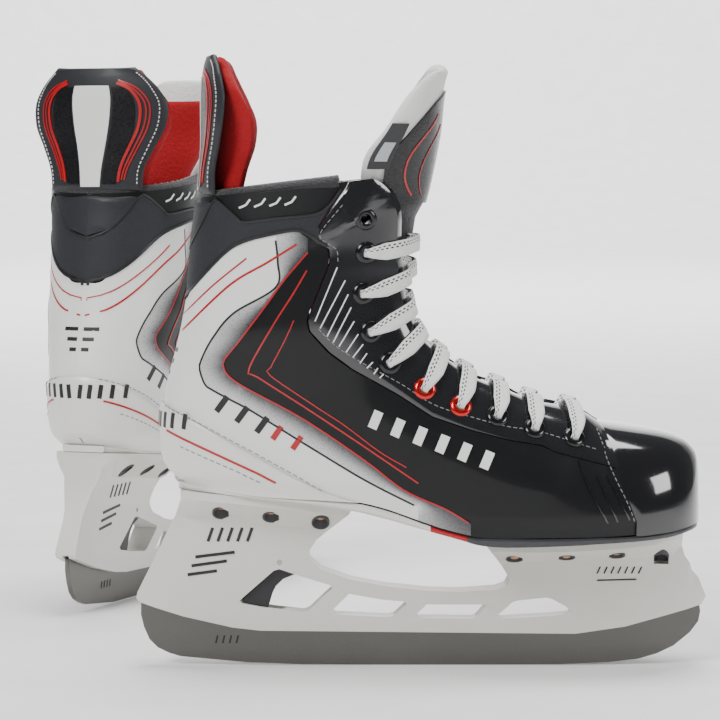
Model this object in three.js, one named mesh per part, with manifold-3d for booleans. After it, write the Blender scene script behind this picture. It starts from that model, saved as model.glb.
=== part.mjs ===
// A pair of senior ice hockey skates, millimetres, +Z up, toe of the right skate towards +X, lateral side towards -Y.
import * as THREE from 'three';
import { mergeVertices } from 'three/addons/utils/BufferGeometryUtils.js';
import Module from 'manifold-3d';
const wasm = await Module(); wasm.setup();

// Driving dimensions
const SHELL = 2.8, STEEL = 3.0, TRIG_HALF = 5.0, SLOT_HALF = 5.35, PIN_R = 1.4;
const EYELET_R = 5.4, EYELET_HOLE = 2.5, EYELET_TUBE = 3.3;
const LACE_W = 7.0, LACE_T = 1.3, YAW = 67, LEFT_AT = [-146.5, 309.8];
const TRIG_PIN = [-74.5, 56.0];
// Side-view outlines of the right skate, [x, z]
const E = [[95.4,130.4],[85.3,136.7],[74.2,139.7],[63.6,141.8],[55.1,144.2],[44.5,148.7],[36.6,151.8],[28.1,155.3],[19.6,160.6],[13.2,165.4],[7.4,170.1],[2.7,174.4],[-1.1,179.7],[-4.2,186.0],[-6.4,192.9],[-8.0,199.8],[-9.0,206.7],[-9.5,213.6],[-10.1,220.5],[-10.1,227.4],[-10.1,233.7],[-10.1,239.6],[-10.6,244.3],[-12.2,249.1],[-14.8,253.3],[-19.6,257.1],[-24.9,259.4]];
const O = [[116.6,74.7],[102.3,73.7],[87.5,73.1],[72.6,73.0],[58.3,73.0],[44.0,72.6],[29.7,73.1],[13.8,76.3],[-2.7,81.4],[-21.2,87.5],[-39.8,90.8],[-61.0,92.0],[-83.7,93.5],[-107.6,97.3],[-124.0,99.4],[-133.0,106.5],[-135.7,117.7],[-136.2,130.9],[-135.4,142.6],[-132.5,156.3],[-129.3,168.0],[-126.1,181.3],[-123.8,194.5],[-122.2,210.4],[-120.6,226.3],[-118.7,239.6],[-117.9,249.1]];
const HOLD_OUT = [[-126.7,104.4],[-126.3,91.2],[-129.3,81.6],[-134.1,72.6],[-138.9,62.1],[-145.6,48.8],[-150.1,39.8],[-150.7,36.8],[-149.4,34.6],[-136.7,30.2],[-125.6,26.8],[-114.5,24.2],[-99.6,20.8],[-84.8,19.1],[-42.4,17.5],[-4.3,16.5],[44.4,16.4],[65.2,16.6],[82.7,17.4],[109.1,21.3],[135.5,28.8],[149.5,33.2],[152.1,37.6],[147.8,48.1],[144.2,51.6],[143.1,55.7],[139.9,60.4],[138.5,65.7],[138.9,77.9],[30.7,77.9],[31.8,68.9],[36.3,64.2],[41.9,56.6],[46.0,50.0],[47.2,46.8],[45.6,43.6],[40.3,41.6],[20.0,40.3],[3.7,40.8],[-20.7,43.6],[-36.8,46.8],[-53.0,52.5],[-58.6,57.8],[-59.0,61.5],[-54.9,68.1],[-42.4,78.7],[-37.6,82.4],[-33.9,88.5],[-33.9,104.4]];
const W1 = [[-95.8,35.4],[-77.6,51.4],[-74.7,52.3],[-66.0,49.4],[-47.4,43.5],[-46.4,41.9],[-58.6,30.5],[-61.5,29.2],[-80.9,31.3],[-94.3,33.7]];
const W2 = [[-37.6,39.0],[-20.6,35.9],[-7.7,34.8],[-7.2,33.3],[-14.0,27.0],[-17.3,26.5],[-44.9,27.9],[-47.2,29.4]];
const W3 = [[3.7,33.4],[34.5,33.4],[35.0,32.3],[29.7,26.2],[28.1,25.7],[-1.1,25.9],[-2.4,27.5]];
const W4 = [[40.7,26.7],[49.2,34.7],[52.5,35.6],[67.0,37.1],[70.4,36.3],[77.4,32.3],[80.8,29.4],[79.2,28.1],[65.2,26.6],[41.6,25.4]];
const TRIG = [[-95.1,35.2],[-77.6,50.9],[-74.9,51.8],[-66.2,49.2],[-72.7,46.5],[-76.5,42.8],[-78.3,39.1],[-80.6,31.5],[-93.8,33.8]];
const RUN_BOT = [[-148.6,33.9],[-148.7,27.2],[-147.1,20.5],[-144.2,13.8],[-139.7,9.3],[-133.7,6.4],[-127.7,4.6],[-114.5,2.9],[-92.2,1.3],[-63.6,0.4],[-31.8,0.0],[42.4,0.0],[74.2,0.3],[100.2,1.3],[116.6,3.2],[126.7,6.1],[135.5,10.3],[144.2,17.5],[148.7,23.5],[149.7,28.8],[149.1,33.2]];
const SOLE_TOP = [[-130.9,100.2],[-107.6,97.0],[-83.7,93.3],[-51.4,91.2],[-35.0,90.1],[-18.8,86.7],[2.7,79.5],[13.6,76.1],[31.8,72.7],[60.4,72.5],[102.3,73.1],[127.7,74.7],[144.7,77.4]];
const SOLE_BOT = [[-126.7,95.7],[-107.6,94.3],[-83.7,92.2],[-51.4,88.5],[-32.3,85.3],[-12.5,80.6],[3.7,76.3],[20.0,72.0],[31.8,68.9],[43.5,68.1],[76.9,68.9],[102.3,70.2],[127.7,71.9],[143.1,74.5]];
const EYES = [[79.7,124.1],[59.1,128.9],[39.7,135.5],[20.6,140.9],[1.9,150.0],[-16.0,163.5],[-26.0,179.9],[-30.2,199.8],[-28.4,221.0],[-28.9,238.5]];
const TOE_TOP = [[96.5,129.8],[111.0,127.7],[127.9,124.7],[138.9,120.8],[144.8,115.9],[147.3,109.9],[147.9,88.8],[146.9,79.5]];
const lerp = (a, b, t) => a + (b - a) * t;
const clamp = (x, a, b) => Math.min(b, Math.max(a, x));
const sst = (a, b, x) => { const t = clamp((x - a) / (b - a), 0, 1); return t * t * (3 - 2 * t); };
// Monotone cubic through [x, y] rows
function curve(tab) {
  const n = tab.length, X = tab.map(r => r[0]), Y = tab.map(r => r[1]), d = [], m = [];
  for (let i = 0; i < n - 1; i++) d.push((Y[i + 1] - Y[i]) / (X[i + 1] - X[i]));
  m[0] = d[0]; m[n - 1] = d[n - 2];
  for (let i = 1; i < n - 1; i++) m[i] = d[i - 1] * d[i] <= 0 ? 0 : 2 * d[i - 1] * d[i] / (d[i - 1] + d[i]);
  return x => {
    if (x <= X[0]) return Y[0] + m[0] * (x - X[0]);
    if (x >= X[n - 1]) return Y[n - 1] + m[n - 1] * (x - X[n - 1]);
    let i = 0; while (x > X[i + 1]) i++;
    const h = X[i + 1] - X[i], t = (x - X[i]) / h, t2 = t * t, t3 = t2 * t;
    return (2 * t3 - 3 * t2 + 1) * Y[i] + (t3 - 2 * t2 + t) * h * m[i] + (3 * t2 - 2 * t3) * Y[i + 1] + (t3 - t2) * h * m[i + 1];
  };
}
// Catmull-Rom through points, by index
function path(P) {
  const n = P.length;
  return u => {
    const i = clamp(Math.floor(u), 0, n - 2), t = u - i, a = P[i - 1] || P[i].map((q, k) => 2 * q - P[i + 1][k]), b = P[i], c = P[i + 1], e = P[i + 2] || P[i + 1].map((q, k) => 2 * q - P[i][k]);
    if (t < 0 || t > 1) return b.map((q, k) => q + (c[k] - q) * t);
    return b.map((q, k) => 0.5 * (2 * q + (c[k] - a[k]) * t + (2 * a[k] - 5 * q + 4 * c[k] - e[k]) * t * t + (3 * q - a[k] - 3 * c[k] + e[k]) * t * t * t));
  };
}
const px = L => L.map(([x, y]) => [(x - 420) * 0.53, (667 - y) * 0.53]);
const Ec = path(E), Oc = path(O);
const xb = curve(px([[195, 492], [186, 479.5], [169, 466], [164, 445], [163, 420], [164.5, 398], [170, 372], [176, 350], [182, 325], [186.5, 300], [189.5, 270], [192.5, 240], [196, 215], [197.5, 197], [198.5, 180]]).map(([x, z]) => [z, x]));
const zs = curve(SOLE_TOP), zb = curve(SOLE_BOT), zTop = curve(TOE_TOP);
const Az = curve([[85, 30], [105, 32.5], [125, 33.5], [145, 35], [165, 38.5], [182, 41], [200, 41], [220, 41], [240, 42.5], [262, 45]]);
const Bx = curve([[-60, 34], [-30, 36.5], [0, 41], [30, 46], [60, 49], [85, 49], [105, 47], [120, 44]]);
const weI = curve([[0, 14], [5, 17], [10, 20], [15, 23], [20, 27], [24, 31], [26, 36]]);
const NOSE = px([[699, 500]])[0][0];
const Bc = x => x < 88 ? 48 : 48 * Math.pow(Math.max(0, 1 - Math.pow((x - 88) / (NOSE - 88), 2.5)), 0.4);
const ES = []; for (let i = 0; i <= 26; i += 0.25) ES.push([...Ec(i), i]);
function edgeNear(x, z) {
  let best = [1e9, 0];
  for (let k = 0; k < ES.length - 1; k++) {
    const [ax, az, ai] = ES[k], [bx, bz] = ES[k + 1], dx = bx - ax, dz = bz - az;
    const t = clamp(((x - ax) * dx + (z - az) * dz) / (dx * dx + dz * dz), 0, 1), d = Math.hypot(x - ax - dx * t, z - az - dz * t);
    if (d < best[0]) best = [d, ai + 0.25 * t];
  }
  return best;
}
const zEdge = curve(E.slice(0, 10).reverse());
function capW(x, z) {
  const s = zs(x), h = x < E[0][0] ? zEdge(x) + 0.5 : zTop(Math.max(x, 95)), q = clamp((z - s - 8) / (h - s - 8), 0, 1);
  return Bc(x) * Math.pow(1 - Math.pow(q, 2.3), 1 / 2.3);
}
// Half width of the boot at a side-view point
function w(x, z) {
  const [d, i] = edgeNear(x, z), we = weI(i), b = sst(-70, -5, x);
  const W0 = Az(z) * (1 - b) + Bx(x) * b, R = lerp(44, 55, sst(8, 16, i)), p = lerp(1.75, 1.9, sst(8, 16, i));
  const r = d >= R ? 1 : Math.pow(1 - Math.pow(1 - d / R, p), 1 / p);
  let v = we + (W0 - we) * r;
  const c = sst(60, 96, x);
  if (c > 0) v = Math.max(13, lerp(v, capW(x, z), c));
  const dh = x - xb(z), H = dh <= 0 ? 0 : dh >= 48 ? 1 : Math.pow(1 - Math.pow(1 - dh / 48, 2.1), 1 / 2.1);
  return v * H * (0.93 + 0.07 * sst(0, 12, z - zs(x)));
}
const shear = x => 4.5 * sst(-30, 140, x);
const V = (x, y, z) => new THREE.Vector3(x, y, z);

// Geometry from raw arrays, turned to face out
function build(verts, tris) {
  let vol = 0;
  for (const [a, b, c] of tris) vol += verts[a].dot(V(0, 0, 0).crossVectors(verts[b], verts[c]));
  const pos = [];
  for (const [a, b, c] of tris) for (const k of vol > 0 ? [a, b, c] : [a, c, b]) pos.push(verts[k].x, verts[k].y, verts[k].z);
  const g = new THREE.BufferGeometry();
  g.setAttribute('position', new THREE.Float32BufferAttribute(pos, 3));
  return g;
}
function closed(A, B) {
  const nu = A.length, nv = A[0].length, verts = [], tris = [], o = (i, j) => i * nv + j, n = (i, j) => nu * nv + i * nv + j;
  for (const G of [A, B]) for (const row of G) for (const p of row) verts.push(p);
  const quad = (a, b, c, d) => tris.push([a, b, c], [a, c, d]);
  for (let i = 0; i < nu - 1; i++) for (let j = 0; j < nv - 1; j++) {
    quad(o(i, j), o(i + 1, j), o(i + 1, j + 1), o(i, j + 1));
    quad(n(i, j), n(i, j + 1), n(i + 1, j + 1), n(i + 1, j));
  }
  for (let i = 0; i < nu - 1; i++) { quad(o(i + 1, 0), o(i, 0), n(i, 0), n(i + 1, 0)); quad(o(i, nv - 1), o(i + 1, nv - 1), n(i + 1, nv - 1), n(i, nv - 1)); }
  for (let j = 0; j < nv - 1; j++) { quad(o(0, j), o(0, j + 1), n(0, j + 1), n(0, j)); quad(o(nu - 1, j + 1), o(nu - 1, j), n(nu - 1, j), n(nu - 1, j + 1)); }
  return build(verts, tris);
}
// Thick sheet between two offsets of fn(u, v); ref is a point inside
function sheet(fn, us, vs, h0, h1, ref) {
  const e = 1e-3, P = [], N = [];
  for (const u of us) { P.push([]); N.push([]); for (const v of vs) {
    const a = fn(u + e, v).sub(fn(u - e, v)), b = fn(u, v + e).sub(fn(u, v - e));
    P[P.length - 1].push(fn(u, v)); N[N.length - 1].push(a.cross(b).normalize());
  } }
  const mi = us.length >> 1, mj = vs.length >> 1, s = N[mi][mj].dot(P[mi][mj].clone().sub(ref)) > 0 ? 1 : -1;
  const off = h => P.map((row, i) => row.map((p, j) => p.clone().addScaledVector(N[i][j], s * (typeof h === 'function' ? h(us[i], vs[j]) : h))));
  return closed(off(h1), off(h0));
}
function loft(S) {
  const n = S[0].length, verts = S.flat(), tris = [];
  for (let k = 0; k < S.length - 1; k++) for (let j = 0; j < n; j++) {
    const a = k * n + j, b = k * n + (j + 1) % n;
    tris.push([a, b, b + n], [a, b + n, a + n]);
  }
  // Both ends: the first against the loop's sense, the last with it
  for (const [k, sense] of [[0, -1], [S.length - 1, 1]]) {
    const P = S[k].map(p => new THREE.Vector2(p.y, p.z)), A = THREE.ShapeUtils.area(P);
    for (const [p, q, r] of THREE.ShapeUtils.triangulateShape(P.slice(), [])) {
      const same = THREE.ShapeUtils.area([P[p], P[q], P[r]]) * A > 0;
      const t = [k * n + p, k * n + q, k * n + r];
      tris.push(same === (sense > 0) ? t : [t[0], t[2], t[1]]);
    }
  }
  return build(verts, tris);
}
function prism(poly, y0, y1, holes = []) {
  const sh = new THREE.Shape(poly.map(([x, z]) => new THREE.Vector2(x, z)));
  for (const h of holes) sh.holes.push(new THREE.Path(h.map(([x, z]) => new THREE.Vector2(x, z))));
  const g = new THREE.ExtrudeGeometry(sh, { depth: y1 - y0, bevelEnabled: false, steps: 1 });
  g.rotateX(Math.PI / 2); g.translate(0, y1, 0);
  return g;
}
function solid(g) {
  const s = new THREE.BufferGeometry(); s.setAttribute('position', (g.index ? g.toNonIndexed() : g).getAttribute('position').clone());
  const m = mergeVertices(s, 1e-4), tri = [], ix = m.index.array;
  for (let i = 0; i < ix.length; i += 3) if (ix[i] !== ix[i + 1] && ix[i + 1] !== ix[i + 2] && ix[i] !== ix[i + 2]) tri.push(ix[i], ix[i + 1], ix[i + 2]);
  return new wasm.Manifold(new wasm.Mesh({ numProp: 3, vertProperties: Float32Array.from(m.getAttribute('position').array), triVerts: Uint32Array.from(tri) }));
}
function geo(man) {
  const m = man.getMesh(), v = [], t = [];
  for (let i = 0; i < m.vertProperties.length; i += m.numProp) v.push(V(m.vertProperties[i], m.vertProperties[i + 1], m.vertProperties[i + 2]));
  for (let i = 0; i < m.triVerts.length; i += 3) t.push([m.triVerts[i], m.triVerts[i + 1], m.triVerts[i + 2]]);
  return build(v, t);
}
const cyl = (r, p, dir, len, seg) => {
  const g = new THREE.CylinderGeometry(r, r, len, seg);
  g.applyQuaternion(new THREE.Quaternion().setFromUnitVectors(V(0, 1, 0), dir)); g.translate(p.x, p.y, p.z); return g;
};
const bend = g => { const a = g.getAttribute('position'); for (let i = 0; i < a.count; i++) a.setY(i, a.getY(i) + shear(a.getX(i))); return g; };

// Boot surface, side -1 lateral, +1 medial
const expo = i => lerp(1, 1.9, sst(9.5, 14, i));
function sidePt(i, t) { const a = Oc(i), b = Ec(i); return [lerp(a[0], b[0], t), lerp(a[1], b[1], t)]; }
const skin = (x, z, s) => V(x, s * (w(x, z) + 0.15), z);
// Inner contour of the eyestay, as the fraction of each column
const CONT = px([[352, 174], [346, 187], [316, 230], [314, 237], [329, 247], [330, 260], [308, 315], [310, 327], [329, 348], [352, 365], [398, 390], [431, 411], [470, 424], [508, 434], [539, 439], [550, 445], [609, 461], [640, 470]]);
function contourT(i) {
  const a = Oc(i), b = Ec(i); let best = 0.5;
  for (let k = 0; k < CONT.length - 1; k++) {
    const p = CONT[k], q = CONT[k + 1], rx = b[0] - a[0], rz = b[1] - a[1], sx = q[0] - p[0], sz = q[1] - p[1], den = rx * sz - rz * sx;
    if (Math.abs(den) < 1e-9) continue;
    const t = ((p[0] - a[0]) * sz - (p[1] - a[1]) * sx) / den, v = ((p[0] - a[0]) * rz - (p[1] - a[1]) * rx) / den;
    if (v >= 0 && v <= 1 && t > 0.3 && t < 0.97) best = t;
  }
  return best;
}
const TC = []; for (let i = 0; i <= 26; i += 0.5) TC.push([i, contourT(i)]);
const tc = curve(TC);
function quarterFn(s) {
  return (i, q) => {
    const f = tau => { const t = tc(i) * Math.pow(tau, expo(i)), [x, z] = sidePt(i, t); return skin(x, z, s); };
    if (q >= 0) return f(q);
    if (i < 13.6) { const a = f(0), b = f(-q); return a.multiplyScalar(2).sub(b); }
    const p = f(-q); p.y *= -1; return p;
  };
}
const stayFn = s => (i, q) => { const t = lerp(tc(i) + 0.006, 1, q), [x, z] = sidePt(i, t); return skin(x, z, s); };
function heelFn(a, q) {
  const s = a < 0 ? 1 : -1, u = Math.abs(a), TIP = (354 - 420) * 0.53, STITCH = heelTop;
  const d = u * u * (TIP + 136), zt0 = STITCH(Math.max(-136 + d, -136)), x0 = xb(lerp(97, zt0, q)) ;
  let x = lerp(x0, -136 + d, sst(0, 0.35, u)); x = Math.max(x, x0 + d * 0.9);
  const z = lerp(zs(x) + 0.4, Math.max(STITCH(x), zs(x) + 1.2), q);
  const xx = Math.max(x, xb(z) + d * 0.9);
  const p = V(xx, s * (w(xx, z) + 0.15), z); if (u < 1e-9) p.y = 0; return p;
}
const heelTop = curve(px([[163, 400], [201, 419], [242, 442], [282, 464], [323, 486], [354, 496.5]]));
// Tongue, k is the station, f the angle across it
const lowT = [[3, -5, 24, 20], [6, -4.5, 25, 24], [9, -4.5, 25, 26], [12, -2.5, 26, 28], [15, 1, 27, 30], [18, 5.5, 27, 33], [20, 8, 27, 35], [21.6, 9.5, 27, 35]];
function outward(i) { const a = Ec(i - 0.05), b = Ec(i + 0.05), dx = b[0] - a[0], dz = b[1] - a[1], l = Math.hypot(dx, dz); return [dz / l, -dx / l]; }
const lo = lowT.map(([i]) => i), loO = curve(lowT.map(r => [r[0], r[1]])), loW = curve(lowT.map(r => [r[0], r[2]])), loD = curve(lowT.map(r => [r[0], r[3]]));
function tongueLow(i, f, h = 0) {
  const e = Ec(i), n = outward(i), hw = loW(i) + h, D = loD(i) + h, o = loO(i) + h - D * (1 - Math.cos(f));
  return V(e[0] + n[0] * o, hw * Math.sin(f), e[1] + n[1] * o);
}
const up = px([[423, 201], [427, 186], [433, 158], [438, 130], [441, 100], [445, 80], [449, 68]]), upB = px([[365, 205], [361, 187], [366, 158], [385, 130], [405, 98], [420, 80], [436, 70]]), upW = [27, 29.5, 37, 39.5, 37, 31, 21];
const upC = path(up.map((p, k) => [...p, ...upB[k], upW[k]]));
function tongueUp(k, f) { const [x, z, bx, bz, hw] = upC(k), c = 1 - Math.cos(f); return V(x + (bx - x) * c, hw * Math.sin(f), z + (bz - z) * c); }
// Tendon guard, k the station from the collar up, v across
const gR = px([[198.5, 193], [200, 170], [202, 145], [202, 120], [202, 96], [203, 78], [205, 65], [208, 56]]), gF = px([[214, 193], [214, 170], [219, 145], [223, 122], [225, 98], [222, 80], [219, 68], [213, 57]]), gW = [31, 32, 38, 44, 45, 40, 34, 26];
const pF = px([[236, 193], [242, 170], [250, 145], [250, 122], [239, 98], [230, 82], [223, 72], [215, 66]]);
const gC = path(gR.map((p, k) => [...p, ...gF[k], gW[k], ...pF[k]]));
const guardFn = (k, v) => { const [x, z, fx, fz, W] = gC(k); return V(x + (fx - x) * v * v, W * v, z + (fz - z) * v * v); };
const padFn = (k, v) => { const [x, z, fx, fz, W, qx, qz] = gC(k), X = x + 4.6; return V(X + (qx - X) * v * v, (W - 2.5) * v, z + (qz - z) * v * v); };
const steps = (a, b, n) => Array.from({ length: n + 1 }, (_, k) => lerp(a, b, k / n));
const NORM = (x, z, s) => { const e = 0.2; return V(-(w(x + e, z) - w(x - e, z)) / (2 * e), s, -(w(x, z + e) - w(x, z - e)) / (2 * e)).multiply(V(1, 1, 1)).normalize(); };
// Half width of the sole at x
const hwS = x => { const z = zs(x); return w(Math.max(x, xb(z) + 0.02), z + 3) / 0.955; };
const XI = [-121, -113, -100, -80, -55, -30, -10, 10, 30, 60, 90, 110, 125, 136];
const SX = [-127.2, -125.5, ...XI, 143, 146.4, 147.6];
const soleHW = x => x > 88 ? Bc(x) * 0.96 : Math.max(0.8, hwS(x) * 0.985);
const plate = (xs, zt, zlo, inset, edge = 0) => loft(xs.map(x => {
  const h = Math.max(0.6, soleHW(x) - inset), t = zt(x), b = zlo(x);
  return edge ? [V(x, -h, b), V(x, h, b), V(x, h, t + edge), V(x, h * 0.6, t), V(x, -h * 0.6, t), V(x, -h, t + edge)] : [V(x, -h, b), V(x, h, b), V(x, h, t), V(x, -h, t)];
}));
const RIV = [[-104.9, 17], [-78.4, 18], [-52.5, 17], [49.8, 21], [76.9, 24], [103.4, 23], [127.7, 15]];
const flangeHW = curve([[-140, 6], [-131, 13], [-124, 20], [-108, 25], [-80, 26.5], [-55, 25], [-42, 20], [-30, 10], [20, 10], [34, 18], [48, 28], [77, 32], [103, 31], [127, 23], [138, 15], [150, 8]]);
const SLOT_TOP = [[-150.6, 36.2], [-144.5, 37.5], [-142, 52.5], [-109.5, 52.5], [-106, 32], [-101, 24.6], [-70, 23.6], [112, 24.6], [117, 32], [118.5, 51.5], [145.6, 51.5], [145.6, 37.5], [156, 37.5], [156, -5], [-150.6, -5]];
const RUN_TOP = [[146.8, 34.2], [142.6, 35.5], [142.2, 48.5], [121.5, 48.5], [120, 32], [114, 22.6], [-70, 21.6], [-99, 22.4], [-108.5, 30], [-112.5, 49.5], [-139, 49.5], [-141.6, 35], [-148, 34.4]];
const arc = (cx, cz, r, a0, a1, n) => steps(a0, a1, n).map(a => [cx + r * Math.cos(a * Math.PI / 180), cz + r * Math.sin(a * Math.PI / 180)]);
const TR = [...TRIG.slice(0, 2), ...arc(TRIG_PIN[0], TRIG_PIN[1], 4.6, 190, -10, 8), ...TRIG.slice(3)];
const turn = (P, [cx, cz], deg) => { const a = deg * Math.PI / 180, c = Math.cos(a), s = Math.sin(a); return P.map(([x, z]) => [cx + (x - cx) * c - (z - cz) * s, cz + (x - cx) * s + (z - cz) * c]); };
const grow = (P, k) => { // outward offset of a small polygon
  const A = P.reduce((a, p, i) => { const q = P[(i + 1) % P.length]; return a + p[0] * q[1] - q[0] * p[1]; }, 0) > 0 ? 1 : -1;
  return P.map((p, i) => {
    const a = P[(i + P.length - 1) % P.length], b = P[(i + 1) % P.length], n1 = [p[1] - a[1], a[0] - p[0]], n2 = [b[1] - p[1], p[0] - b[0]];
    const l1 = Math.hypot(...n1) || 1, l2 = Math.hypot(...n2) || 1, m = [n1[0] / l1 + n2[0] / l2, n1[1] / l1 + n2[1] / l2], l = Math.hypot(...m) || 1, f = A * k / Math.max(0.5, l / 2) / l;
    return [p[0] + m[0] * f, p[1] + m[1] * f];
  });
};

const IS = [0, 2, 4, 6, 8, 10, 12, 13, 14, 15, 16, 18, 20, 22, 24, 26];
const G = {}; // geometry of one skate, by piece name
for (const [s, side] of [[-1, 'lateral'], [1, 'medial']]) {
  G['quarter_' + side] = bend(sheet(quarterFn(s), IS, [0, 0.14, 0.3, 0.48, 0.66, 0.84, 1], -SHELL, 0, V(-20, 0, 110)));
  let stay = solid(sheet(stayFn(s), IS, [0, 0.5, 1], -SHELL, 1.0, V(-20, 0, 110)));
  const P = EYES.map(([x, z]) => V(x, s * w(x, z), z)), N = EYES.map(([x, z]) => NORM(x, z, s));
  for (let k = 0; k < 10; k++) stay = stay.subtract(solid(cyl(EYELET_TUBE + 0.75, P[k], N[k], 14, 6)));
  G['eyestay_' + side] = bend(geo(stay.simplify(0.15)));
  // Eyelets, held together by the reinforcing tape behind the eyestay
  let tape = solid(sheet((k, v) => {
    const c = path(EYES)(k), a = path(EYES)(k - 0.05), b = path(EYES)(k + 0.05), dx = b[0] - a[0], dz = b[1] - a[1], l = Math.hypot(dx, dz);
    const x = c[0] + dz / l * v, z = c[1] - dx / l * v; return V(x, s * (w(x, z) + 0.15), z);
  }, steps(-0.2, 9.2, 9), [2.75, 5.4], -SHELL - 2.2, -SHELL - 1.6, V(-20, 0, 110)));
  for (let k = 0; k < 10; k++) {
    const ring = new THREE.LatheGeometry([[EYELET_HOLE, -5], [EYELET_TUBE, -5], [EYELET_TUBE, 1.9], [EYELET_R, 1.9], [EYELET_HOLE, 3.2], [EYELET_HOLE, -5]].map(([r, y]) => new THREE.Vector2(r, y)), 6);
    ring.applyQuaternion(new THREE.Quaternion().setFromUnitVectors(V(0, 1, 0), N[k])); ring.translate(P[k].x, P[k].y, P[k].z);
    tape = tape.add(solid(ring));
  }
  G['eyelets_' + side] = bend(geo(tape.simplify(0.25)));
}
G.heel_cap = bend(sheet(heelFn, [-0.97, -0.85, -0.72, -0.6, -0.48, -0.36, -0.25, -0.14, 0, 0.14, 0.25, 0.36, 0.48, 0.6, 0.72, 0.85, 0.97], [0, 0.5, 1], 0.9, 2.2, V(-60, 0, 110)));
// Toe cap: outer dome less its inside, behind a slanted edge
{
  const xs = [80, 100, 114, 126, 134.5, 141, 145, 147.2], n = 10;
  const sec = (x, k) => {
    const s = zs(x), h = zTop(Math.max(x, 95)) - k * 0.9, b = Math.max(0.7, Bc(Math.min(x, NOSE - 0.01)) - k), L = [];
    const q = steps(-Math.PI / 2, Math.PI / 2, n);
    for (const a of q) { const c = Math.cos(a), sn = Math.sin(a); L.push(V(x, b * Math.sign(sn) * Math.pow(Math.abs(sn), 2 / 2.3), s + 8 + (h - s - 8) * Math.pow(c, 2 / 2.3))); }
    return [V(x, -b * 0.96, k ? s - 6 : s + 0.3), ...L, V(x, b * 0.96, k ? s - 6 : s + 0.3)];
  };
  const outer = solid(loft(xs.map(x => sec(x, 0))));
  const inner = solid(loft([70, 100, 114, 126, 134.5, 140.8, 144.4].map(x => sec(x, 3)))); 
  const cut = solid(prism([[96.6, 140], [117.9, 68], [170, 68], [170, 140]], -80, 80));
  G.toe_cap = bend(geo(outer.subtract(inner).intersect(cut)));
}
// Sole, insole board and footbed
{
  let sole = solid(plate(SX, x => zs(x) - 0.05, x => zb(x), 0));
  let board = solid(plate([...XI, 140], x => zs(x) + 3.0, x => zs(x) + 1.4, 4.4));
  for (const [x, y] of RIV) for (const s of [-1, 1]) sole = sole.subtract(solid(cyl(2.4, V(x, s * y, 80), V(0, 0, 1), 60, 5)));
  G.outsole = bend(geo(sole.simplify(0.05))); G.insole_board = bend(geo(board));
  G.footbed = bend(plate([...XI.slice(1), 139], x => zs(x) + 5.8, x => zs(x) + 3.4, 6, 2.5));
}
G.inner_liner = bend(sheet((i, q) => {
  const a = Math.abs(q), t = (tc(i) - 0.03) * Math.pow(a, expo(i)), [x, z] = sidePt(i, t), p = skin(x, z, q >= 0 ? -1 : 1);
  if (a < 1e-9) p.y = 0; return p;
}, [15.6, 17, 18.5, 20, 21.5, 23, 24.5, 26], [-1, -0.82, -0.64, -0.46, -0.28, -0.12, 0, 0.12, 0.28, 0.46, 0.64, 0.82, 1], -SHELL - 4.4, -SHELL - 1.4, V(-60, 0, 160)));
const F = steps(-Math.PI / 2, Math.PI / 2, 8);
G.tongue_lower = bend(sheet((i, f) => tongueLow(i, f, -4.6), [3, 5, 7.5, 10, 12.5, 15, 17.5, 20, 21.6], F, -3.5, 3.5, V(-40, 0, 110)));
G.tongue_upper = bend(sheet(tongueUp, [0, 1, 2, 3, 4, 5, 6], F, -8, 0, V(-40, 0, 240)));
G.tongue_shield = bend(sheet(tongueUp, [0.5, 1.3, 2.2, 3.1, 4], steps(-0.785398, 0.785398, 4), 0.9, 2.1, V(-40, 0, 240)));
G.tongue_size_tag = bend(sheet(tongueUp, [2.1, 2.7, 3.2], [-1.25, -1.1, -0.95], 0.8, 1.6, V(-40, 0, 240)));
const VV = steps(-1, 1, 8);
G.tendon_guard = bend(sheet(guardFn, [0, 1, 2, 3, 4, 5, 6, 7], VV, 0, 3.6, V(-300, 0, 280)));
G.tendon_pad = bend(sheet(padFn, [0, 1, 2, 3, 4, 5, 6], VV, 0.8, 5.2, V(-300, 0, 280)));
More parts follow.
